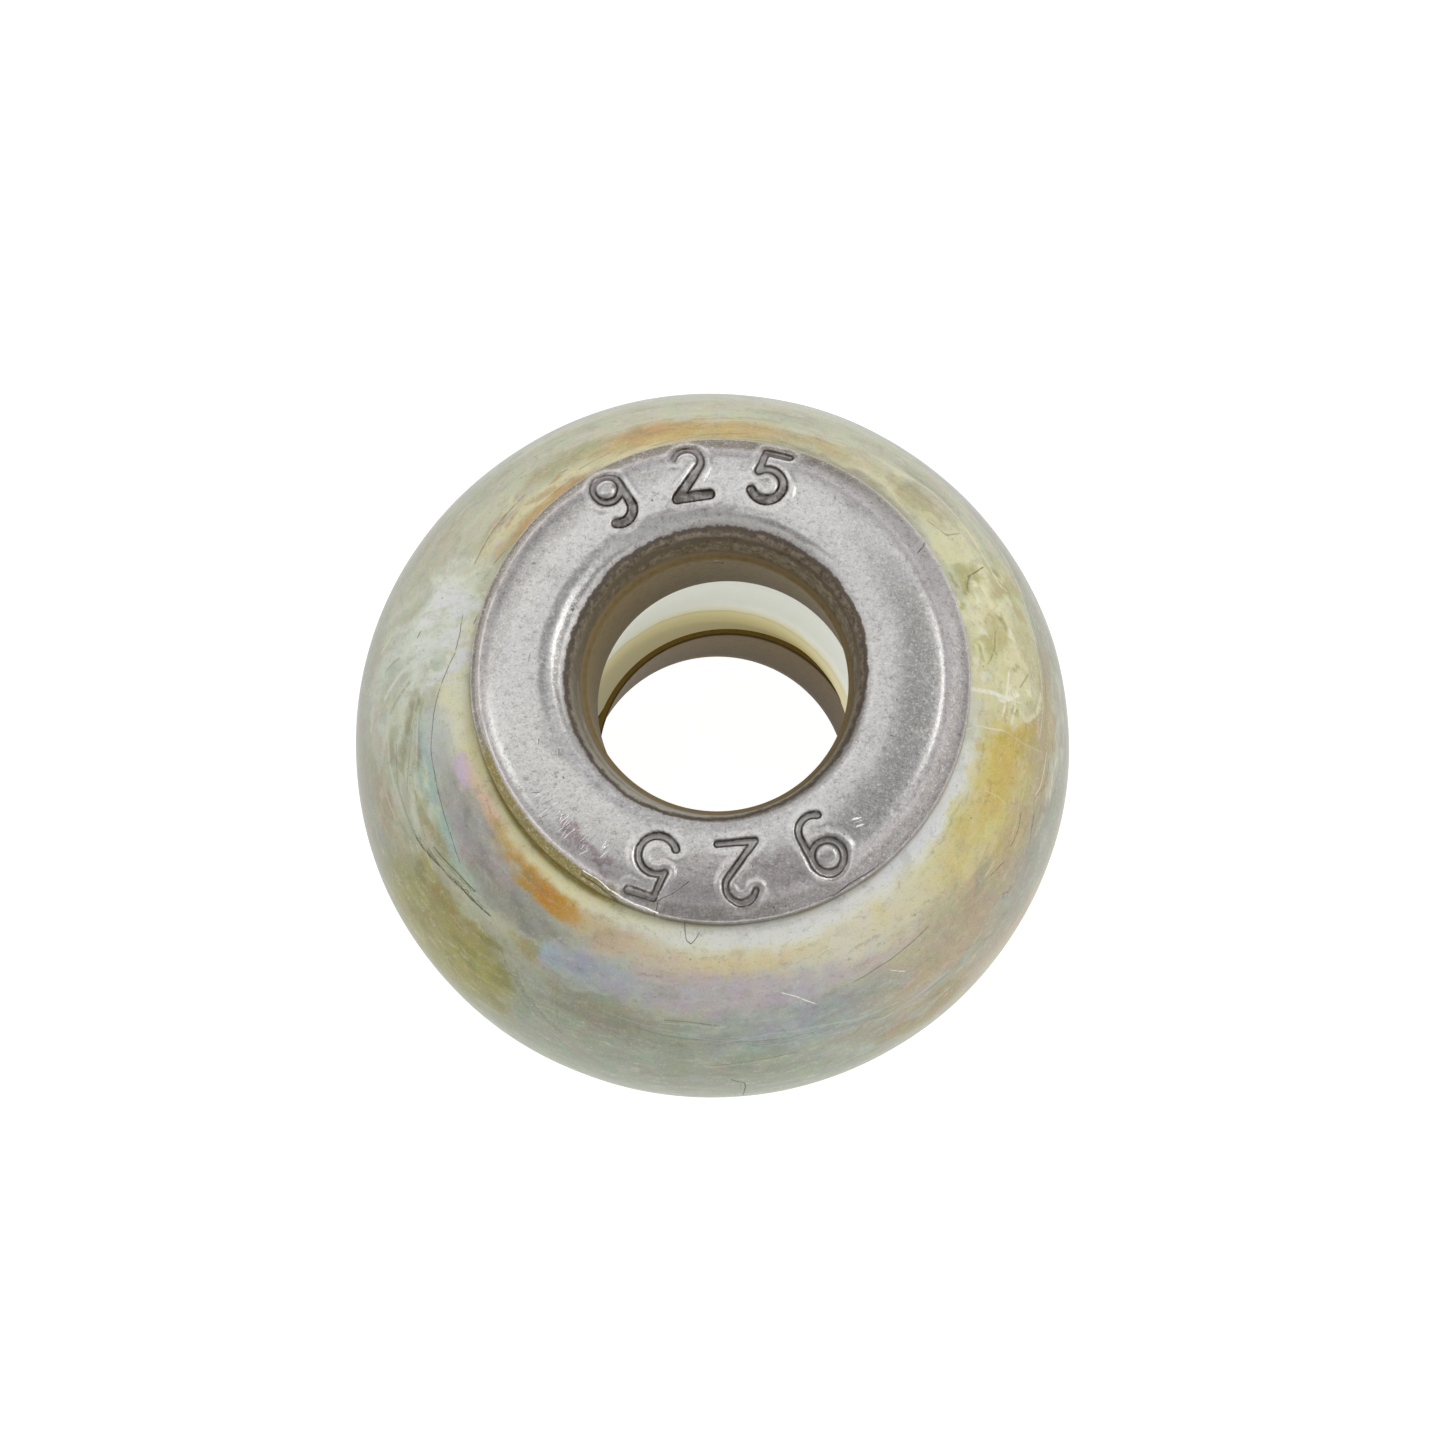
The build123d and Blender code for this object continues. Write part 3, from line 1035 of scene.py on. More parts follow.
LUSTRE_STROKES = (
    Stroke("left_crease", ((161, 56), (165, 57), (170, 57), (175, 54.5), (180, 52.3), (190, 49), (200, 47.6),
                           (207, 46), (213, 44)), 0.035, "6c6d60", 0.75),
    Stroke("groove_lower", ((203, 33.6), (206, 34.6), (211, 37.4), (217, 39.4), (224, 40.4)), 0.065,
           "5a5b44", 0.9),
    Stroke("groove_light", ((205, 36), (211, 38.8), (217, 40.6), (225, 42.2)), 0.05, "c3c7ab", 0.7),
    Stroke("groove_upper", ((207, 38.4), (213, 41.0), (219, 42.4)), 0.05, "66654a", 0.8),
    Stroke("top_left_streak", ((131, 48.4), (137, 49.3), (143, 50.2), (149, 51.8)), 0.045, "85796e", 0.7),
    Stroke("flange_streak_left", ((144, 58.6), (148, 58)), 0.04, "9c8a73", 0.7),
    Stroke("wisp_a", ((166, 54), (170, 46), (173, 38), (177, 31)), 0.13, "dfe2da", 0.7),
    Stroke("wisp_b", ((160, 50), (162, 40), (165, 30), (168, 25)), 0.10, "d2d5c6", 0.6),
    Stroke("wisp_c", ((156, 55), (157, 48), (156, 42)), 0.08, "dcdfd8", 0.7),
    Stroke("wisp_d", ((163, 54), (166, 46), (168, 40)), 0.06, "e6e8e2", 0.7),
    Stroke("wisp_shade_a", ((170, 36), (172, 30)), 0.10, "a3a48d", 0.6),
    Stroke("wisp_shade_b", ((175, 42), (180, 34)), 0.10, "a5a68c", 0.6),
    Stroke("pale_a", ((182, 46), (190, 43.5), (196, 40)), 0.08, "d4d8c9", 0.7),
    Stroke("pale_b", ((180, 33), (188, 31.5), (199, 32.5)), 0.08, "cfd2be", 0.6),
    Stroke("pale_c", ((192, 26.5), (195, 27.2), (198.5, 28)), 0.06, "cfc3a2", 0.8),
    Stroke("dark_a", ((183, 44), (189, 41), (195, 37)), 0.06, "8f9080", 0.5),
    Stroke("dark_b", ((186, 36), (193, 33.5), (203, 33.8)), 0.05, "878873", 0.5),
    Stroke("cross_a", ((230, 34), (234, 27), (238, 22)), 0.05, "b3ab8f", 0.5),
    Stroke("cross_b", ((231, 31), (236, 25), (240, 19)), 0.04, "86846c", 0.5),
    Stroke("cross_c", ((241, 38), (242, 30), (244, 20)), 0.04, "8b8a76", 0.4),
    Stroke("low_hair_left", ((261, 34.8), (265, 35.4), (271, 34.4)), 0.03, "70746a", 0.7),
    Stroke("low_hair_left_light", ((261, 33.8), (266, 34.4), (271, 33.4)), 0.04, "bcc5bf", 0.6),
    Stroke("wave_a", ((272, 28), (280, 29.5), (288, 28), (295, 25), (303, 22.5)), 0.05, "bac4c3", 0.7),
    Stroke("wave_b", ((285, 25), (292, 22), (300, 20), (313, 20.3)), 0.05, "c0c4bf", 0.7),
    Stroke("wave_shade", ((284, 27), (291, 24), (299, 21.5)), 0.04, "868d8c", 0.5),
    Stroke("wave_c", ((269, 17.6), (276, 19.0), (284, 19.5)), 0.03, "747a6d", 0.7),
    Stroke("wave_c_light", ((269, 16.6), (276, 18.0), (284, 18.4)), 0.04, "b8bfb2", 0.5),
    Stroke("glint_low", ((283.4, 42.2), (286, 40), (288.6, 36.4)), 0.035, "fffdf6", 1.0),
    Stroke("glint_right", ((304, 34.8), (306, 32)), 0.03, "f6f4ea", 0.95),
    Stroke("crease_right", ((297, 38), (305, 38.4), (314, 39.2)), 0.035, "7b7271", 0.75),
    Stroke("arc_right", ((350, 60), (352.5, 58.6), (354, 55), (354.3, 50), (354.6, 46)), 0.045,
           "e8e6cc", 0.85),
    Stroke("arc_right_low", ((354.6, 46), (353.6, 38), (353.6, 30)), 0.05, "d0caa8", 0.5),
    Stroke("shard_a", ((362, 57.5), (361.8, 50), (361.2, 45), (362.5, 41)), 0.12, "f4f2de", 1.0),
    Stroke("shard_b", ((357.6, 46.8), (362, 45.6), (366.5, 44)), 0.09, "f0edd4", 1.0),
    Stroke("shard_c", ((356.5, 43.6), (360, 42.2), (363, 43)), 0.08, "ece7c6", 0.95),
    Stroke("shard_d", ((361, 43), (358, 38), (360, 33), (364, 30)), 0.14, "dfdab6", 0.8),
    Stroke("shard_e", ((366, 50), (368, 48)), 0.08, "dedabb", 0.8),
    Stroke("shard_f", ((371, 56), (374, 55), (378, 55.5)), 0.06, "ddd9b8", 0.8),
    Stroke("shard_g", ((366, 54.5), (369, 53)), 0.07, "d8d3ae", 0.7),
    Stroke("shard_h", ((370, 45), (373, 41), (372, 36)), 0.07, "d4cfa6", 0.6),
    Stroke("shard_i", ((376, 49), (379, 45), (381, 40)), 0.08, "d3ceaa", 0.6),
    Stroke("shard_shade_a", ((368, 51), (371, 48), (375, 46)), 0.05, "948c5c", 0.6),
    Stroke("shard_shade_b", ((364, 40), (367, 36)), 0.06, "9c9463", 0.6),
    Stroke("foil_edge", ((387, 48), (387.6, 44), (388.2, 40)), 0.045, "7b764a", 0.8),
    Stroke("foil_dots", ((384.6, 50.5), (386, 49), (387, 47)), 0.05, "8b8656", 0.8),
    Stroke("cream_line", ((383, 34.5), (385, 37), (392, 36.8), (400, 35.8), (406, 36.5), (411, 38.5),
                          (416, 40)), 0.05, "e3e0c2", 0.8),
    Stroke("cream_line_shade", ((396, 41), (396.5, 46), (401, 48.5)), 0.04, "948f6d", 0.7),
    Stroke("cream_line_shade_low", ((402, 34.2), (407, 35.0), (412, 37.0)), 0.05, "95937c", 0.6),
    Stroke("shell_line", ((356, 31), (362, 29.3), (370, 29), (378, 28), (384, 26), (390, 24.6), (396, 25.6),
                          (402, 27.4)), 0.05, "d6d2b4", 0.7),
    Stroke("shell_shade", ((358, 28.6), (364, 27.2), (372, 27.0), (379, 25.8), (385, 23.8),
                           (390, 22.6)), 0.06, "8f8e79", 0.6),
    Stroke("debris_a", ((328.4, 34.6), (331.5, 34.8)), 0.06, "d0c8aa", 0.9),
    Stroke("debris_a_shade", ((329, 33.0), (332.5, 31.4)), 0.04, "7e725c", 0.8),
    Stroke("debris_b", ((336, 31.4), (339, 31.4), (342, 32.6)), 0.04, "766c56", 0.8),
    Stroke("debris_b_light", ((337, 33.0), (340, 33.2), (343, 34.8)), 0.04, "cec6a9", 0.8),
    Stroke("debris_c", ((328.6, 24), (329.6, 22.2)), 0.04, "6c6454", 0.8),
    Stroke("debris_d", ((340.4, 25), (343, 26.4)), 0.045, "766c5a", 0.8),
    Stroke("flake_a", ((346, 28.4), (348, 27), (351, 26.6), (354, 26.4)), 0.05, "dcdacd", 0.8),
    Stroke("flake_b", ((347, 26), (350, 24.4), (353.5, 24.6)), 0.04, "847f6d", 0.7),
    Stroke("flake_c", ((347.4, 20), (351, 21), (354, 19.6)), 0.07, "d6d5c8", 0.8),
    Stroke("ochre_mist", ((327, 46.2), (335, 44.6), (341, 43.6)), 0.05, "d2c584", 0.6),
    Stroke("yellow_jag", ((341.6, 48), (342, 43), (341.4, 40)), 0.04, "ded595", 0.7),
    Stroke("hair_low", ((272.9, 9.5), (273.8, 8.2), (275, 6.5), (275.4, 3), (275.1, -2), (274.9, -8)),
           0.035, "3b3a33", 1.0),
    Stroke("hair_flange", ((263.3, 64), (263.7, 62), (264.3, 59.6), (265.3, 58.4), (266.3, 59.5),
                           (267, 61.5)), 0.025, "5d584f", 0.9),
    Stroke("top_speck_a", ((118, 35), (118.6, 34.4)), 0.05, "838271", 0.8),
    Stroke("top_speck_b", ((165.5, 42.6), (166.3, 42.2)), 0.05, "7e8273", 0.9),
    Stroke("top_speck_c", ((121.2, 50.2), (122.2, 50.1)), 0.05, "85785e", 0.8),
    Stroke("top_scratch", ((126, 40), (124, 37.6), (123.8, 34)), 0.03, "93937f", 0.6),
    Stroke("flange_speck", ((161.4, 60.8), (162.6, 60.6)), 0.04, "808070", 0.8),
)

LUSTRE_FLAKES = (
    Flakes("foil_flakes", (2, 55), (26, 32), 26, (3.0, 4.0),
           ("dedab8", "b0a978", "d8d4b0", "bcb68a", "d2cea8"), 0.6),
    Flakes("foil_specks", (0, 56), (28, 31), 36, (0.8, 1.3), ("e9e6cc", "a09a68", "dedab8"), 0.7),
    Flakes("yellow_flakes", (328, 54), (359, 34), 26, (2.2, 2.4), ("cfc48c", "c0b070", "cec49a"), 0.5),
    Flakes("shell_flakes", (345, 26), (380, 14), 26, (2.2, 1.8), ("bdb9a4", "a3a08c", "c6c3b0"), 0.45),
    Flakes("ice_feathers", (156, 52), (178, 40), 16, (5.5, 3.0), ("e6e9e2", "b3b5a2", "dfe3da"), 0.45,
           (-3.4, -2.0)),
    Flakes("left_feathers", (144, 48), (158, 38), 6, (4.5, 2.6), ("dfe2d6", "b9bba6"), 0.35, (-3.0, -2.0)),
    Flakes("pale_feathers", (180, 46), (204, 30), 14, (6.0, 1.6), ("d0d3bf", "999a80", "d6d8c6"), 0.5,
           (-0.9, -0.4)),
    Flakes("window_flakes", (30, 52), (60, 38), 20, (2.0, 1.8), ("d3d0b0", "b5b08c", "c7c4a4"), 0.5),
    Flakes("cream_flakes", (112, 55), (146, 46), 24, (2.0, 1.1), ("d9d3b2", "b09c76", "cbc29c"), 0.55),
    Flakes("ice_flakes", (154, 58), (178, 40), 30, (1.1, 2.6), ("e3e7df", "bfc3b2", "d7dbcf"), 0.55),
    Flakes("left_flakes", (176, 46), (204, 24), 30, (2.4, 1.4), ("c9ccb6", "a0a086", "d0d2bd"), 0.5),
    Flakes("mauve_flakes", (200, 57), (238, 44), 26, (2.4, 1.3), ("aaa6a2", "8b8882", "b5aca4"), 0.45),
    Flakes("moss_flakes", (204, 34), (232, 10), 34, (2.4, 2.2), ("a8a36a", "8f8a50", "b0a972"), 0.5),
    Flakes("low_flakes", (236, 38), (330, 8), 60, (3.2, 2.0), ("b3b8ae", "959a8a", "aaa69a"), 0.4),
)

LUSTRE_BRUSHWORK = (
    Brushwork("pale_slants", (176, 48), (200, 37), (14, -4), 7, 0.05, ("d3d6c2", "8b8c72", "c9ccb4"), 0.45),
    Brushwork("groove_scratches", (200, 34), (216, 40), (12, 4), 5, 0.035, ("5f5f46", "b9b78f"), 0.6, 1.6),
    Brushwork("crossing_scratches", (226, 38), (240, 22), (12, -14), 12, 0.035, ("7a7b62", "b6b69a"), 0.55),
    Brushwork("low_waves", (250, 34), (300, 20), (26, -4), 14, 0.045, ("b4bdbd", "7c847b", "a9b1aa"), 0.5),
    Brushwork("right_shell", (330, 24), (372, 16), (8, 6), 10, 0.05, ("bab8a8", "858475"), 0.45),
    Brushwork("top_streaks", (60, 44), (130, 40), (14, 1.5), 14, 0.05, ("d5d6be", "9c9c84"), 0.4),
    Brushwork("gold_streaks", (75, 51), (125, 53), (9, 1.2), 10, 0.04, ("dccfa2", "9c865c"), 0.5),
)


@dataclass
class GlassBead:
    """The wound glass ring, whose belly runs a little off the axis of its hole."""

    diameter: float = 13.0
    axis_x: float = -0.15
    axis_y: float = -0.22
    seat_height: float = 3.45
    edge_radius: float = 4.47
    edge_round: float = 0.25
    bore_radius: float = 2.52
    mouth_round: float = 0.30
    turns: int = 490
    upper_rows: int = 118
    lower_rows: int = 38
    bore_rows: int = 14
    ripple: float = 0.03
    flip: float = 140.0

    def belly_arc(self) -> tuple[float, float]:
        """Give the radius of the belly's arc and the distance of its centre from the axis."""
        rise = self.diameter / 2 - self.edge_radius
        radius = (rise**2 + self.seat_height**2) / (2 * rise)
        return radius, self.diameter / 2 - radius

    def section(self) -> Outline:
        """Draw the half section.

        Returns:
            The closed outline: the belly upwards, the upper seat, the hole and the lower seat.
        """
        radius, centre = self.belly_arc()
        top = self.seat_height
        corner = math.asin((top - self.edge_round * 0.45) / radius)
        start = (centre + radius * math.cos(corner), radius * math.sin(corner))
        low = math.radians(-10)
        waist = (centre + radius * math.cos(low), radius * math.sin(low))
        outline = Outline(start[0], -start[1])
        outline.arc(90 - math.degrees(corner), *waist, self.lower_rows)
        outline.arc(80, *start, self.upper_rows)
        outline.arc(90 + math.degrees(corner), start[0] - self.edge_round * 0.75, top, 4)
        outline.line(4.02, top, 6)
        outline.line(self.bore_radius + self.mouth_round, top, 2)
        outline.arc(180, self.bore_radius, top - self.mouth_round, 4)
        outline.line(self.bore_radius, self.mouth_round - top, self.bore_rows)
        outline.arc(-90, self.bore_radius + self.mouth_round, -top, 4)
        outline.line(start[0] - self.edge_round * 0.75, -top, 2)
        outline.arc(0, start[0], -start[1], 4)
        return outline

    def painted(self, bearing: np.ndarray, latitude: np.ndarray, places: np.ndarray) -> Canvas:
        """Paint the lustre on the belly, and the same lustre turned over on its lower half, with painted
        light that brightens it upwards.

        Args:
            bearing: The bearing of each point, in degrees.
            latitude: Its height on the belly, in degrees.
            places: Its place in millimetres.

        Returns:
            The painted canvas.
        """
        level_size = self.belly_arc()[0] * math.radians(1)
        canvas = Canvas(bearing, latitude, places, level_size, "c2c1aa", 0.32)
        angle = np.radians(bearing)
        ring = np.column_stack([np.cos(angle), np.sin(angle), latitude * 0.045])
        streaks = grain(ring * 2.4, 1.0, 5, 61.0)
        canvas.cover(eased(streaks, 0.05, 0.9) * 0.35, "d0d2bc")
        canvas.cover(eased(streaks, -0.05, -0.9) * 0.35, "96987c")
        under = eased(latitude, -6, -22)
        dice = np.random.default_rng(61)
        patches = LUSTRE + tuple(patch for field in LUSTRE_FLAKES for patch in field.patches(dice))
        for patch in patches:
            canvas.patch(patch)
        for patch in patches:
            canvas.patch(patch, under, self.flip, -1)
        canvas.enliven(0.18, 0.14)
        # Painted light: the belly is painted brighter upwards, and at the front low down, where more light
        # falls on it.
        low = swell(bearing, 288, 42.0) * eased(latitude, 4, 20)
        painted_light_lift = 0.96 + 0.09 * eased(latitude, 32, 46) + 0.05 * eased(latitude, 48, 60) + 0.05 * low
        canvas.colour = np.clip(canvas.colour * painted_light_lift[:, None], 0, 0.93)
        for stroke in LUSTRE_STROKES:
            canvas.draw(stroke)
        for work in LUSTRE_BRUSHWORK:
            for stroke in work.strokes(dice):
                canvas.draw(stroke)
                canvas.draw(stroke.turned_over(self.flip))
        return canvas

    def build(self) -> None:
        """Model the ring, paint it and dress it."""
        points = np.array(self.section().points)
        radius, centre = self.belly_arc()
        rows = len(points)
        bearing, row = np.meshgrid(np.linspace(0, 360, self.turns + 1), np.arange(rows))
        bearing, row = bearing.ravel(), row.ravel()
        out, high = points[row, 0], points[row, 1]
        latitude = np.degrees(np.arctan2(high, out - centre))
        belly = eased(out, self.bore_radius + self.mouth_round, self.edge_radius - self.edge_round)
        angle = np.radians(bearing)
        lean_x, lean_y = lean(high)
        x = out * np.cos(angle) + self.axis_x * belly + lean_x * (1 - belly)
        y = out * np.sin(angle) + self.axis_y * belly + lean_y * (1 - belly)
        places = np.column_stack([x, y, high])
        canvas = self.painted(bearing, latitude, places)
        self.paint_seats(canvas, np.hypot(x, y), high)
        wave = np.clip(grain(places, 0.35, 2, 5.0) * 0.5 + 0.5, 0, 1)
        relief = -self.ripple * wave * eased(out, 4.5, 5.0)
        tilt = np.radians(latitude)
        normal = np.column_stack([np.cos(tilt) * np.cos(angle), np.cos(tilt) * np.sin(angle), np.sin(tilt)])
        places = places + normal * relief[:, None]
        rise = latitude * radius * math.radians(1)
        layers = canvas.layers() | {
            # Painted glow: how much the glass glows near the hole, for light that passes through it.
            "glow": eased(out, 3.2, 2.9),
            "hole": np.where(out < 2.9, high, FAR),
            "hole_side": 0.5 + 0.5 * np.cos(angle - math.radians(15)),
            "feathery": swell(bearing, 170, 18.0) * eased(latitude, 62, 52),
            "winding": np.column_stack([4 * np.cos(angle), 4 * np.sin(angle), rise, np.ones(len(rise))]),
        }
        mesh = wrapped_sheet(places.reshape(rows, self.turns + 1, 3), layers)
        placed(mesh, "wound_glass", LustreGlass().material(), "glass_bead", "glass")

    def paint_seats(self, canvas: Canvas, reach: np.ndarray, high: np.ndarray) -> None:
        """Paint the olive film of glue under the flanges, which shows in a thin crescent on one side.

        Args:
            canvas: The canvas to paint on.
            reach: The distance of each point from the axis of the bore.
            high: Its height.
        """
        edge = self.edge_radius + 0.01 + np.interp(canvas.bearing, *GLUE_CRESCENT)
        film = eased(reach, edge + 0.03, edge - 0.03) * (np.abs(high) > self.seat_height - 0.25)
        canvas.cover(film, "a39450")


class PenStroke(Enum):
    """How the pen moves in one stroke of a numeral."""

    BAR = "bar"
    ARC = "arc"


NUMERALS = {
    9: (
        (PenStroke.ARC, (0.00, 0.23), 0.27, 0, 360),
        (PenStroke.BAR, (0.27, 0.23), (0.26, -0.24)),
        (PenStroke.ARC, (-0.02, -0.24), 0.28, -128, 0),
    ),
    2: (
        (PenStroke.ARC, (0.00, 0.24), 0.26, -35, 160),
        (PenStroke.BAR, (0.21, 0.09), (-0.30, -0.50)),
        (PenStroke.BAR, (-0.30, -0.50), (0.33, -0.50)),
    ),
    5: (
        (PenStroke.BAR, (0.28, 0.50), (-0.18, 0.50)),
        (PenStroke.BAR, (-0.18, 0.50), (-0.23, 0.06)),
        (PenStroke.ARC, (-0.02, -0.18), 0.32, -145, 131),
    ),
}


@dataclass(frozen=True)
class StampGroup:
    """One group of numerals stamped on a flange."""

    bearing: float
    pitch: float
    centre_radius: float
    height: float
    inner_weight: float
    outer_weight: float
    tilt: float = 0.0


# Patches painted on the crown. Those with little wander are painted light and shade: darker and lighter
# reflections of the room and the lamps on the crown, bevel, lip and inner ring, and a painted highlight on
# the left shoulder. The mauve stains and the small smudges are the silver's own marks.
SILVER_PATCHES = (
    Patch("painted_shade_right", 354, 3.72, 40, 0.36, "93918f", 0.9, 1.3, 0.0, 0.3),
    Patch("painted_shade_low_right", 318, 3.70, 26, 0.36, "9c9a98", 0.8, 1.5, 0.0, 0.3),
    Patch("bevel_back_right", 34, 4.26, 34, 0.24, "dcd8d7", 0.8, 1.0, 0.0, 0.1),
    Patch("bevel_back", 118, 4.42, 66, 0.14, "847c6f", 0.9, 0.9, 0.0, 0.2),
    Patch("bevel_left", 205, 4.20, 60, 0.07, "dbd6d2", 0.8, 1.0, 0.0, 0.2),
    Patch("bevel_front", 300, 4.42, 36, 0.08, "a5a09f", 0.8, 1.0, 0.0, 0.2),
    Patch("painted_shade_back_left", 140, 3.96, 34, 0.20, "a9a6a4", 0.8, 1.3, 0.0, 0.3),
    Patch("painted_highlight_shoulder_left", 202, 4.11, 16, 0.06, "fdfcf8", 0.8, 1.3, 0.0, 0.2),
    Patch("painted_light_low_left", 222, 3.55, 30, 0.50, "d6d4d1", 0.7, 1.3, 0.0, 0.5),
    Patch("painted_shade_low", 276, 3.85, 26, 0.40, "a9a3a2", 0.6, 1.5, 0.0, 0.5),
    Patch("inner_ring_left", 164, 3.09, 42, 0.08, "918f8e", 0.9, 1.3, 0.0, 0.15),
    Patch("lip_left", 168, 2.84, 40, 0.05, "807d7a", 0.95, 1.0, 0.0, 0.12),
    Patch("inner_ring_low", 222, 2.96, 38, 0.08, "aaa8a9", 0.85, 1.2, 0.0, 0.15),
    Patch("inner_ring_front", 262, 2.86, 36, 0.08, "a9a7a7", 0.85, 1.2, 0.0, 0.15),
    Patch("inner_ring_right", 318, 2.78, 46, 0.06, "a8a5a3", 0.85, 1.0, 0.0, 0.15),
    Patch("lip_back", 84, 2.88, 24, 0.08, "e8e4e0", 0.8, 1.0, 0.0, 0.2),
    Patch("painted_shade_back_right", 62, 2.99, 14, 0.05, "8f8b8b", 0.9, 1.2, 0.0, 0.2),
    Patch("mauve_stain", 231, 3.93, 8, 0.12, "a08d90", 0.75, 1.2, 0.006),
    Patch("mauve_stain_small", 240, 4.05, 4, 0.08, "9c8a8d", 0.6),
    Patch("smudge_left", 196, 3.25, 5, 0.12, "a8a8a7", 0.5),
    Patch("smudge_inner", 205, 3.1, 4, 0.09, "9a9999", 0.5),
    Patch("smudge_numeral", 283, 3.72, 5, 0.16, "a19a9a", 0.7),
    Patch("painted_shade_back", 104, 3.12, 30, 0.06, "a09b9b", 0.85, 1.2, 0.0, 0.2),
)

SILVER_STROKES = (
    Stroke("rim_nick", ((34.4, 4.44), (33.2, 4.36), (32.6, 4.30)), 0.03, "463d3b", 0.9),
    Stroke("front_hair", ((254.6, 4.50), (256.0, 4.30), (260.5, 4.08), (263.0, 3.88)), 0.025, "564f4b", 0.9),
    # Painted highlights: white glints along the chipped rim.
    Stroke("rim_glint_a", ((236, 4.36), (240, 4.34), (243, 4.41)), 0.04, "fffefa", 0.9),
    Stroke("rim_glint_b", ((243, 4.41), (249, 4.44), (256, 4.47)), 0.03, "fffefa", 0.9),
    Stroke("rim_chip_dark", ((236, 4.44), (241, 4.45), (246, 4.49)), 0.035, "5b5136", 0.8),
    # Painted highlight and painted shade on the two sides of a nick.
    Stroke("shiny_nick", ((312.6, 3.66), (314.4, 3.72)), 0.05, "fffefc", 0.9),
    Stroke("shiny_nick_low", ((312.0, 3.80), (313.8, 3.84)), 0.04, "fffefc", 0.8),
    Stroke("shiny_nick_shade", ((311.6, 3.74), (312.8, 3.76)), 0.03, "8b8786", 0.7),
    Stroke("rim_line_right", ((296, 4.47), (303, 4.45), (308, 4.47)), 0.035, "554f4f", 0.8),
    Stroke("left_pit_a", ((201, 3.40), (202, 3.42)), 0.05, "858587", 0.8),
    Stroke("left_pit_b", ((207, 3.14), (208.4, 3.18)), 0.05, "7b7c7e", 0.8),
    Stroke("left_pit_c", ((174, 3.34), (176, 3.36)), 0.04, "8a8a8c", 0.7),
    Stroke("back_pit", ((147, 3.84), (148, 3.88)), 0.04, "878789", 0.7),
    Stroke("bore_speck", ((88.6, 1.49), (91.5, 1.52), (95.0, 1.50)), 0.09, "241c12", 0.95),
    Stroke("bore_speck_tip", ((91.0, 1.60), (91.8, 1.50)), 0.05, "241c12", 0.9),
    Stroke("bore_speck_light", ((89.5, 1.66), (91.0, 1.67)), 0.04, "c9bda0", 0.7),
)


@dataclass(frozen=True)
class EyeletPoints:
    """The points of an eyelet's mesh, row by row along its section, and the part that each lies on."""

    bearing: np.ndarray
    out: np.ndarray
    high: np.ndarray
    on_face: np.ndarray
    on_crown: np.ndarray
    in_bore: np.ndarray


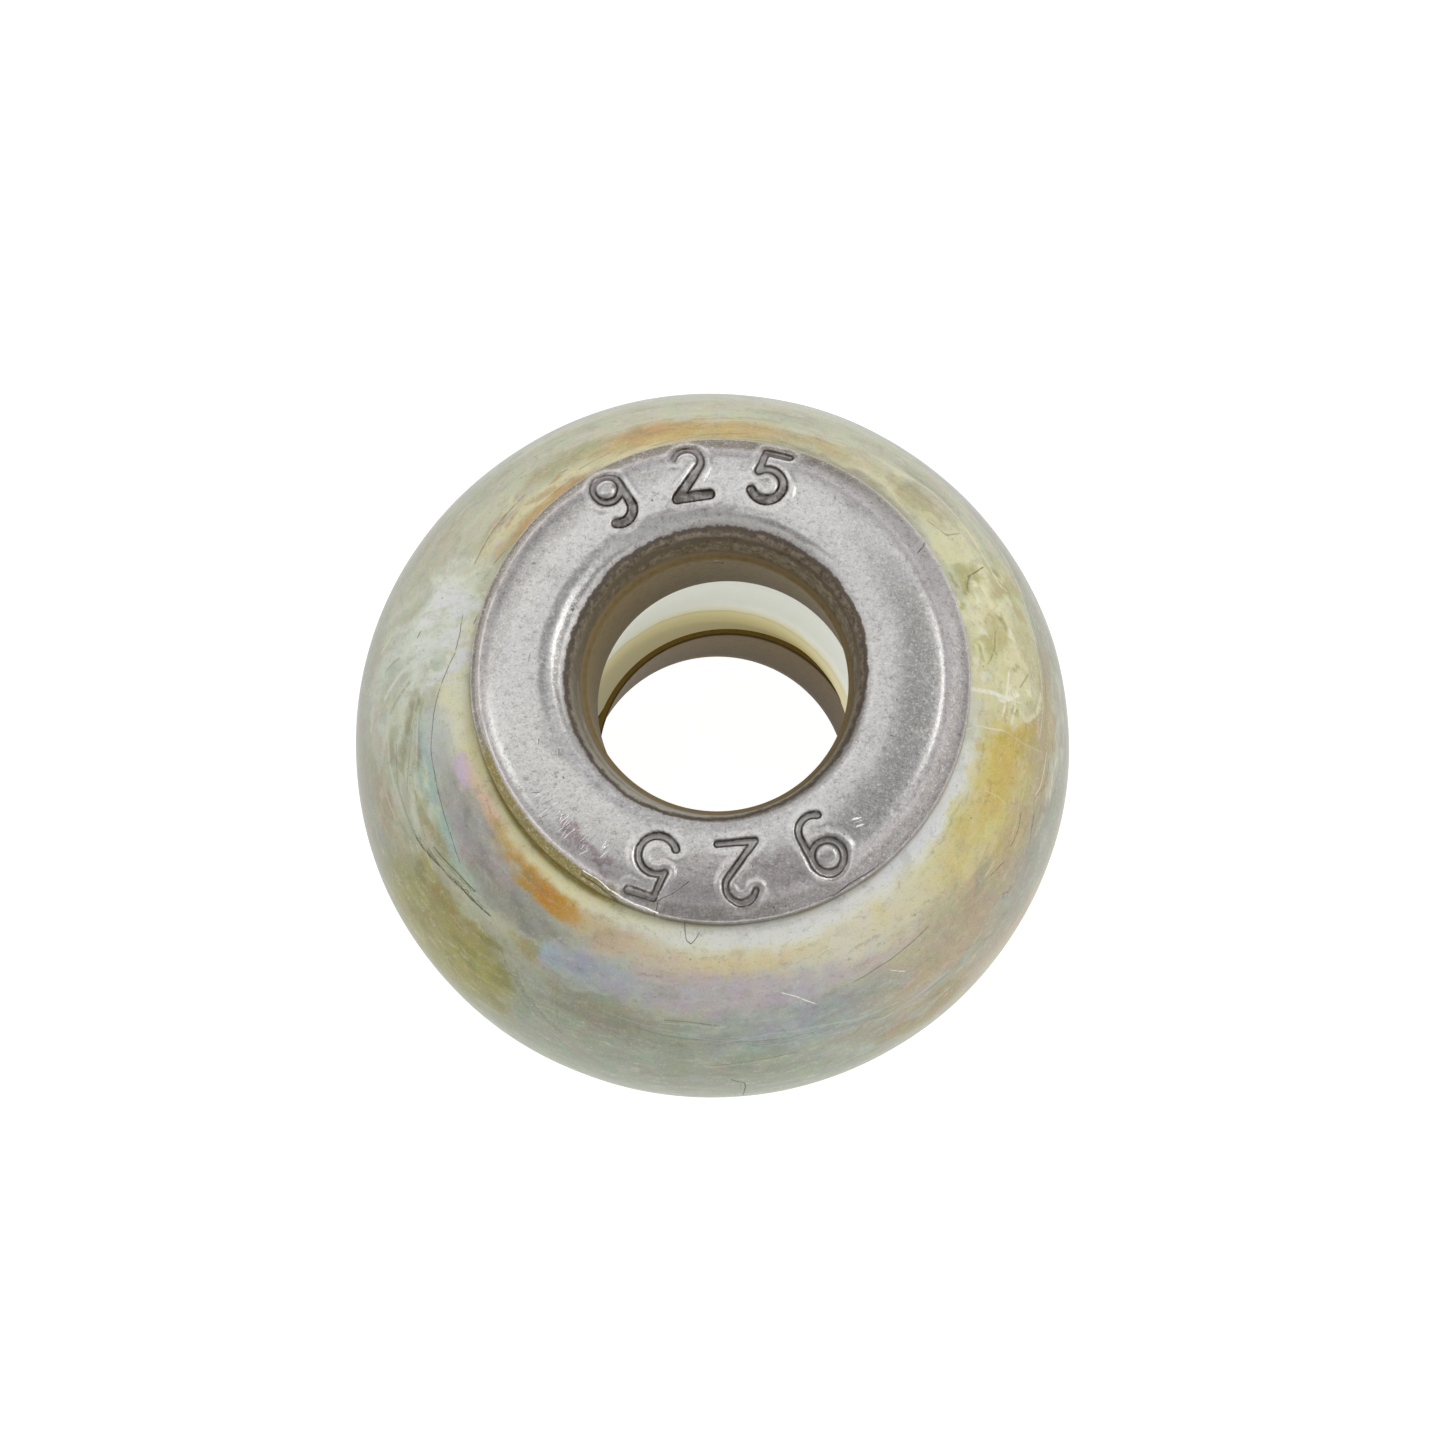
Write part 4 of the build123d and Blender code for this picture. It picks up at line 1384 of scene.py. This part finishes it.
@dataclass
class Eyelet:
    """A flanged silver eyelet, worked out for the upper end of the bead."""

    name: str
    node: str
    turned_over: bool
    crest_height: float = 4.15
    flange_radius: float = 4.5
    flange_height: float = 0.70
    flange_edge: float = 0.28
    shoulder_inset: float = 0.42
    shoulder_drop: float = 0.06
    crease_round: float = 0.050
    crease_sharpening: float = 0.022
    land_radius: float = 3.1
    lip_radius: float = 2.90
    lip_back: float = 0.20
    lip_left: float = 0.145
    lip_slope: float = 0.15
    lip_curl: float = 0.8
    mouth_radius: float = 2.76
    mouth_drop: float = 0.04
    cone_top_radius: float = 2.58
    cone_top_drop: float = 0.26
    cone_foot_radius: float = 2.46
    cone_foot_drop: float = 0.66
    bore_radius: float = 2.35
    sleeve_wall: float = 0.12
    sleeve_length: float = 2.45
    pen: float = 0.15
    depth: float = 0.06
    burr: float = 0.024
    groups: tuple[StampGroup, ...] = (
        StampGroup(98.6, 22.1, 3.80, 1.08, 0.75, 0.1),
        StampGroup(275.4, 24.3, 3.68, 1.22, 0.30, 0.2, 0.05),
    )
    order: tuple[int, ...] = (9, 2, 5)
    crown_rows: int = 88
    fine_span: float = 76.0
    fine_step: float = 0.36
    plain_step: float = 0.8
    scratch_count: int = 24

    def seat(self) -> float:
        """Give the height of the flange's flat underside."""
        return self.crest_height - self.flange_height

    def crown(self, out: np.ndarray, bearing: np.ndarray) -> np.ndarray:
        """Give the height of the crown: throat slope, dome and bevel, with rounded creases between.

        Args:
            out: The radius.
            bearing: The bearing in degrees; the creases are crisper on one side.

        Returns:
            The height, in millimetres.
        """
        crisp = swell(bearing, 352, 34.0)
        edge = self.seat() + self.flange_edge
        inset = self.shoulder_inset - 0.05 * crisp
        shoulder = self.flange_radius - inset
        rise = self.crest_height - self.shoulder_drop - edge
        share = np.clip(out - self.land_radius, 0, None) / (shoulder - self.land_radius)
        dome = self.crest_height - self.shoulder_drop * share**2
        bevel = edge + (self.flange_radius - out) * rise / inset
        back, left = swell(bearing, 95, 42.0), swell(bearing, 163, 42.0)
        dip = self.lip_radius + self.lip_back * back + self.lip_left * left - out
        throat = self.crest_height + 0.004 - self.lip_slope * dip - self.lip_curl * np.clip(dip, 0, None) ** 2
        high = lower_of(dome, bevel, self.crease_round - self.crease_sharpening * crisp)
        return np.minimum(lower_of(high, throat, 0.006), self.crest_height)

    def section(self) -> Outline:
        """Draw the half section.

        Returns:
            The closed outline, from the rim's lower corner over the crown and down the bore. Its marks
            are the end of the rim, the mouth where the throat starts, and the foot of the wall.
        """
        seat, edge = self.seat(), self.seat() + self.flange_edge
        sleeve = self.bore_radius + self.sleeve_wall
        end = self.crest_height - self.sleeve_length
        top = self.crest_height
        outline = Outline(self.flange_radius - 0.06, seat)
        outline.arc(0, self.flange_radius, seat + 0.06, 3)
        outline.line(self.flange_radius, edge - 0.05, 3)
        outline.arc(90, self.flange_radius - 0.03, edge + 0.02, 3)
        outline.mark("rim")
        outline.line(self.mouth_radius, top - self.mouth_drop, self.crown_rows)
        outline.mark("mouth")
        outline.arc(-150, self.cone_top_radius, top - self.cone_top_drop, 8)
        outline.line(self.cone_foot_radius, top - self.cone_foot_drop, 8)
        outline.line(2.40, top - 0.70, 2)
        outline.line(self.bore_radius + 0.01, top - 0.76, 1)
        outline.line(self.bore_radius, end + 0.15, 9)
        outline.line(self.bore_radius, end + 0.03, 2)
        outline.arc(-90, self.bore_radius + 0.03, end, 2)
        outline.mark("foot")
        outline.line(sleeve - 0.03, end, 1)
        outline.arc(0, sleeve, end + 0.03, 2)
        outline.line(sleeve, seat - 0.12, 4)
        outline.arc(90, sleeve + 0.12, seat, 3)
        outline.line(self.flange_radius - 0.06, seat, 4)
        return outline

    def bearings(self) -> np.ndarray:
        """Space the columns of the mesh.

        Returns:
            Their bearings in degrees, close together under the numerals and wider between them.
        """
        parts = []
        at = 0.0
        for group in self.groups:
            start = group.bearing - self.fine_span / 2
            parts.append(np.linspace(at, start, round((start - at) / self.plain_step), endpoint=False))
            at = start + self.fine_span
            parts.append(np.linspace(start, at, round(self.fine_span / self.fine_step), endpoint=False))
        parts.append(np.linspace(at, 360.0, round((360 - at) / self.plain_step) + 1))
        return np.concatenate(parts)

    def pen_distance(self, u: np.ndarray, v: np.ndarray, numeral: int, cell: float) -> np.ndarray:
        """Measure how far points lie from a numeral's pen line.

        Args:
            u: The points' places across the numeral, in millimetres.
            v: Their places up it.
            numeral: Which numeral.
            cell: The height of its pen line.

        Returns:
            The distances, in millimetres.
        """
        reach = np.full(u.shape, FAR)
        for kind, place, *shape in NUMERALS[numeral]:
            x, y = place[0] * cell, place[1] * cell
            if kind is PenStroke.BAR:
                ax, ay = shape[0][0] * cell - x, shape[0][1] * cell - y
                share = np.clip(((u - x) * ax + (v - y) * ay) / (ax * ax + ay * ay), 0, 1)
                near = np.hypot(u - x - share * ax, v - y - share * ay)
            else:
                size, first, last = shape[0] * cell, shape[1], shape[2]
                middle, half = math.radians((first + last) / 2), math.radians((last - first) / 2)
                turn = np.arctan2(v - y, u - x) - middle
                turn = np.arctan2(np.sin(turn), np.cos(turn))
                held = middle + np.clip(turn, -half, half)
                near = np.hypot(u - x - size * np.cos(held), v - y - size * np.sin(held))
            reach = np.minimum(reach, near)
        return reach

    def stamp(
        self, x: np.ndarray, y: np.ndarray, wander: np.ndarray
    ) -> tuple[np.ndarray, np.ndarray, np.ndarray]:
        """Press the numerals into the crown.

        Args:
            x: The points' X in millimetres.
            y: Their Y.
            wander: A small shift of the strokes' edges.

        Returns:
            The distance from the pen line, how heavy the stroke is there, and the relief.
        """
        pen = np.ones(len(x))
        heavy = np.zeros(len(x))
        relief = np.zeros(len(x))
        half = self.pen / 2
        for group in self.groups:
            cell = group.height - self.pen
            for place, numeral in enumerate(self.order):
                bearing = math.radians(group.bearing + (1 - place) * group.pitch)
                u = x * math.sin(bearing) - y * math.cos(bearing)
                middle = group.centre_radius + group.tilt * (place - 1)
                v = x * math.cos(bearing) + y * math.sin(bearing) - middle
                inner = eased(v / group.height, 0.30, -0.35)
                weight = group.inner_weight * inner + group.outer_weight * (1 - inner)
                near = self.pen_distance(u, v, numeral, cell) + wander - (weight - 0.30) * 0.045
                closer = near < pen
                pen = np.where(closer, near, pen)
                heavy = np.where(closer, weight, heavy)
                sunk = eased(near, half * 1.25, half * 0.35)
                ridge = hill(near, half * 2.0, half * 0.8)
                relief += ridge * self.burr * (1 - sunk) - sunk * self.depth
                if numeral == 9:
                    button = np.hypot(u, v - NUMERALS[9][0][1][1] * cell) / (0.2 * cell)
                    relief += eased(button, 1.1, 0.1) * 0.045
        return pen, heavy, relief

    def shaded_wall_paint(self, high: np.ndarray) -> np.ndarray:
        """Paint the sleeve's wall olive brown, with painted shade that darkens it downwards in the bead as it
        lies.

        Args:
            high: The points' heights in the upper eyelet.

        Returns:
            Linear colours, with full alpha.
        """
        end = self.crest_height - self.sleeve_length
        # Painted shade: the lower eyelet's wall is painted darker, as it lies further from the lights.
        first, last = ("755c1e", "584411") if self.turned_over else ("917c50", "6d5b31")
        share = eased(high, self.seat(), end)
        if self.turned_over:
            share = 1 - share
        colour = code_to_paint(first) + (code_to_paint(last) - code_to_paint(first)) * share[:, None]
        return np.column_stack([paint_to_light(colour), np.ones(len(high))])

    def points(self, columns: np.ndarray) -> EyeletPoints:
        """Turn the section round the bore, with the crown and the throat shaped by bearing.

        Args:
            columns: The bearings of the columns.

        Returns:
            The points, row by row.
        """
        outline = self.section()
        rim, mouth, foot = (outline.marks[name] for name in ("rim", "mouth", "foot"))
        section = np.array(outline.points)
        bearing, row = np.meshgrid(columns, np.arange(len(section)))
        bearing, row = bearing.ravel(), row.ravel()
        out, high = section[row, 0], section[row, 1]
        on_face, in_bore = row <= mouth, (row > mouth) & (row <= foot)
        on_crown = on_face & (row >= rim)
        high = np.where(on_crown, self.crown(out, bearing), high)
        join = eased(out, self.cone_foot_radius, self.mouth_radius) * in_bore
        mouth_height = self.crown(np.full(len(out), self.mouth_radius), bearing)
        high = high + join * (mouth_height - self.crest_height + self.mouth_drop)
        return EyeletPoints(bearing, out, high, on_face, on_crown, in_bore)

    def places(self, points: EyeletPoints) -> np.ndarray:
        """Place the points in the bead, with the rim's recess and the lean of the bore.

        Args:
            points: The mesh's points.

        Returns:
            Their places in millimetres, in rows of three.
        """
        angle = np.radians(points.bearing)
        recess = np.interp(points.bearing, *RIM_RECESS) * eased(points.out, 4.1, 4.4) * points.on_face
        held = points.out - recess
        lean_x, lean_y = lean(points.high)
        inner = eased(points.out, 4.45, 4.2)
        x = held * np.cos(angle) + lean_x * inner
        y = held * np.sin(angle) + lean_y * inner
        return np.column_stack([x, y, points.high])

    def glue(self, points: EyeletPoints, canvas: Canvas) -> np.ndarray:
        """Smear glue on the rim, at the front left of the upper eyelet alone.

        Args:
            points: The mesh's points.
            canvas: The canvas, whose wander makes the smear ragged.

        Returns:
            The share of glue at each point.
        """
        if self.turned_over:
            return np.zeros(len(points.out))
        side_wall = eased(points.high, self.seat() + 0.27, self.seat() + 0.20)
        smeared = eased(points.out + canvas.upwards * 0.1, 4.33, 4.38)
        reach = eased(np.abs(turned(points.bearing - 220)), 29.0, 19.0)
        return reach * np.maximum(side_wall, smeared) * (points.out > 4.3)

    def painted(self, points: EyeletPoints, places: np.ndarray) -> Canvas:
        """Paint the silver by bearing and radius, with painted light and shade, its glue, nicks and
        scratches.

        Args:
            points: The mesh's points.
            places: Their places in the bead, in millimetres.

        Returns:
            The painted canvas.
        """
        out, high = points.out, points.high
        level = out - np.clip(self.crest_height - 0.25 - high, 0, None) * (out < 2.7)
        elsewhere = 20.0 if self.turned_over else 0.0
        canvas = Canvas(points.bearing, level, places + elsewhere, 1.0, "c9c7c5", 0.5)
        canvas.degree_size = out * math.radians(1)
        # Painted shade: the crease and the bevel are painted a little darker, and the outer bevel darker
        # still, for the darker room they reflect.
        canvas.cover(eased(out, 4.02, 4.20), "c6c0c0")
        canvas.cover(eased(out, 4.22, 4.32) * 0.85, "9d9894")
        for patch in SILVER_PATCHES:
            canvas.patch(patch, points.on_crown.astype(float))
        canvas.colour = np.clip(canvas.colour * 1.04, 0, 0.98)
        # Painted shade: the rim's side wall, under the flange's edge, is painted dark.
        below = eased(high, self.seat() + 0.14, self.seat() + 0.02) * (out > 4.3)
        canvas.cover(below * 0.7, "5b5342")
        canvas.cover(self.glue(points, canvas), "a0914f")
        for stroke in SILVER_STROKES:
            canvas.draw(stroke)
        self.scratches(canvas)
        return canvas

    def throat_layers(self, points: EyeletPoints) -> dict[str, np.ndarray]:
        """Work out where the silver is browned, in the throat and on the wall below it.

        Args:
            points: The mesh's points.

        Returns:
            What the mesh stores, by name.
        """
        out, high = points.out, points.high
        throat = (points.on_face | points.in_bore) & (out < 3.2)
        on_wall = points.in_bore & (out < self.bore_radius + 0.06)
        end = self.crest_height - self.sleeve_length
        return {
            "to_end": np.where(on_wall, high - end, 1.0),
            "inward": np.where(throat, np.interp(points.bearing, *BROWN_EDGE) - out, -1.0),
            "wall": eased(high, self.crest_height - 0.58, self.crest_height - 0.74) * (out < 2.7),
            "shaded_wall_paint": self.shaded_wall_paint(high),
            # Painted light: the cone's lit side, at bearing about 246.
            "lit": swell(points.bearing, 246, 52.0),
        }

    def build(self, material: bpy.types.Material) -> None:
        """Model the eyelet, paint it and dress it.

        Args:
            material: The silver.
        """
        columns = self.bearings()
        points = self.points(columns)
        places = self.places(points)
        canvas = self.painted(points, places)
        pen, heavy, relief = self.stamp(places[:, 0], places[:, 1], canvas.upwards * 0.06)
        limit = np.maximum(points.high, self.crest_height - 0.006)
        stamped = np.minimum(points.high + relief, limit)
        places[:, 2] = np.where(points.on_crown, stamped, points.high)
        if self.turned_over:
            places = places * np.array([1.0, -1.0, -1.0])
        layers = canvas.layers() | self.throat_layers(points) | {
            "pen": np.where(points.on_crown, pen, 1.0),
            "heavy": heavy,
            "glue": self.glue(points, canvas),
        }
        mesh = wrapped_sheet(places.reshape(-1, len(columns), 3), layers)
        placed(mesh, self.name, material, self.node, "silver")

    def scratches(self, canvas: Canvas) -> None:
        """Draw the short radial scratches on one side of the crown, most of them white as painted highlights.

        Args:
            canvas: The canvas to draw on.
        """
        dice = np.random.default_rng(925)
        for i in range(self.scratch_count):
            start = 214 + i * 1.15 + dice.uniform(-1.2, 1.2)
            inner = dice.uniform(3.62, 4.00)
            path = ((start, inner), (start - dice.uniform(-0.4, 1.2), inner + dice.uniform(0.06, 0.22)))
            strength = dice.uniform(0.35, 0.8)
            # Most scratches are painted white, a painted highlight where they catch the light; every third is
            # darker.
            canvas.draw(Stroke("scratch", path, 0.022, "ffffff" if i % 3 else "8f8b8a", strength))


@dataclass(frozen=True)
class SoftLight:
    """A rectangular soft light, placed by its direction from the bead in degrees.

    Its size is in metres, and its radiance is how bright its face looks, against 1 for white.
    """

    name: str
    bearing: float
    elevation: float
    size: tuple[float, float]
    radiance: float

    def hang(self, distance: float) -> None:
        """Hang the light so that it faces the bead.

        Args:
            distance: How far away, in metres.
        """
        data = bpy.data.lights.new(self.name, "AREA")
        data.shape = "RECTANGLE"
        data.size, data.size_y = self.size
        data.energy = self.radiance * self.size[0] * self.size[1] * math.pi
        bearing, rise = math.radians(self.bearing), math.radians(self.elevation)
        level = math.cos(rise)
        away = Vector((math.cos(bearing) * level, math.sin(bearing) * level, math.sin(rise)))
        lamp = bpy.data.objects.new(self.name, data)
        lamp.location = away * distance
        lamp.rotation_euler = (-away).to_track_quat("-Z", "Y").to_euler()
        bpy.context.scene.collection.objects.link(lamp)


@dataclass
class Studio:
    """The pale table, the soft lights and the camera."""

    elevation: float = 75.0
    distance: float = 0.30
    photo_side: int = 1445
    pixels_per_mm: float = 55.0
    centre_x: float = 720.5
    centre_y: float = 733.0
    sensor: float = 36.0
    table_half: float = 0.6
    room_light: float = 0.45
    light_distance: float = 0.5
    lights: tuple[SoftLight, ...] = (
        SoftLight("right_strip", 15, 49, (0.18, 0.13), 5.4),
        SoftLight("right_low", 332, 33, (0.60, 0.18), 0.72),
        SoftLight("left_window", 132, 62, (0.30, 0.24), 0.72),
        SoftLight("left_low", 172, 44, (0.26, 0.26), 0.92),
        SoftLight("back_right", 72, 64, (0.24, 0.20), 0.62),
        SoftLight("back_low", 95, 36, (0.40, 0.16), 0.7),
    )

    def table(self) -> None:
        """Lay the table under the bead."""
        mesh = bmesh.new()
        bmesh.ops.create_grid(mesh, x_segments=2, y_segments=2, size=self.table_half)
        bmesh.ops.translate(mesh, verts=mesh.verts[:], vec=(0, 0, CAD_BOX[0].z))
        data = bpy.data.meshes.new("table")
        mesh.to_mesh(data)
        mesh.free()
        data.materials.append(LightTable().material())
        floor = bpy.data.objects.new("table", data)
        bpy.context.scene.collection.objects.link(floor)

    def surroundings(self) -> None:
        """Fill the room with even white light."""
        world = bpy.data.worlds.new("white_room")
        world.use_nodes = True
        back = world.node_tree.nodes["Background"]
        back.inputs["Color"].default_value = (1.0, 1.0, 1.0, 1.0)
        back.inputs["Strength"].default_value = self.room_light
        bpy.context.scene.world = world

    def camera(self) -> None:
        """Set the camera at the photograph's angle and distance."""
        rise = math.radians(self.elevation)
        back = Vector((0, -math.cos(rise), math.sin(rise)))
        up = Vector((0, math.sin(rise), math.cos(rise)))
        middle = self.photo_side / 2
        right_shift = (middle - self.centre_x) / self.pixels_per_mm * MM
        up_shift = (self.centre_y - middle) / self.pixels_per_mm * MM
        target = Vector((right_shift, 0, 0)) + up * up_shift
        data = bpy.data.cameras.new("camera")
        data.sensor_width = self.sensor
        data.lens = self.sensor * self.pixels_per_mm * self.distance / MM / self.photo_side
        data.clip_start = 0.01
        data.clip_end = 10.0
        eye = bpy.data.objects.new("camera", data)
        eye.location = target + back * self.distance
        eye.rotation_mode = "QUATERNION"
        eye.rotation_quaternion = (-back).to_track_quat("-Z", "Y")
        bpy.context.scene.collection.objects.link(eye)
        bpy.context.scene.camera = eye

    def build(self) -> None:
        """Set up the whole studio."""
        self.table()
        self.surroundings()
        for light in self.lights:
            light.hang(self.light_distance)
        self.camera()
        bpy.context.scene.view_settings.view_transform = "Standard"


def main() -> None:
    """Build the bead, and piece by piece."""
    logging.basicConfig(level=logging.INFO, format="%(name)s: %(message)s")
    Studio().build()
    GlassBead().build()
    silver = StampedSilver().material()
    Eyelet("upper_eyelet", "top_eyelet", turned_over=False).build(silver)
    Eyelet("lower_eyelet", "bottom_eyelet", turned_over=True).build(silver)


if __name__ == "__main__":
    main()
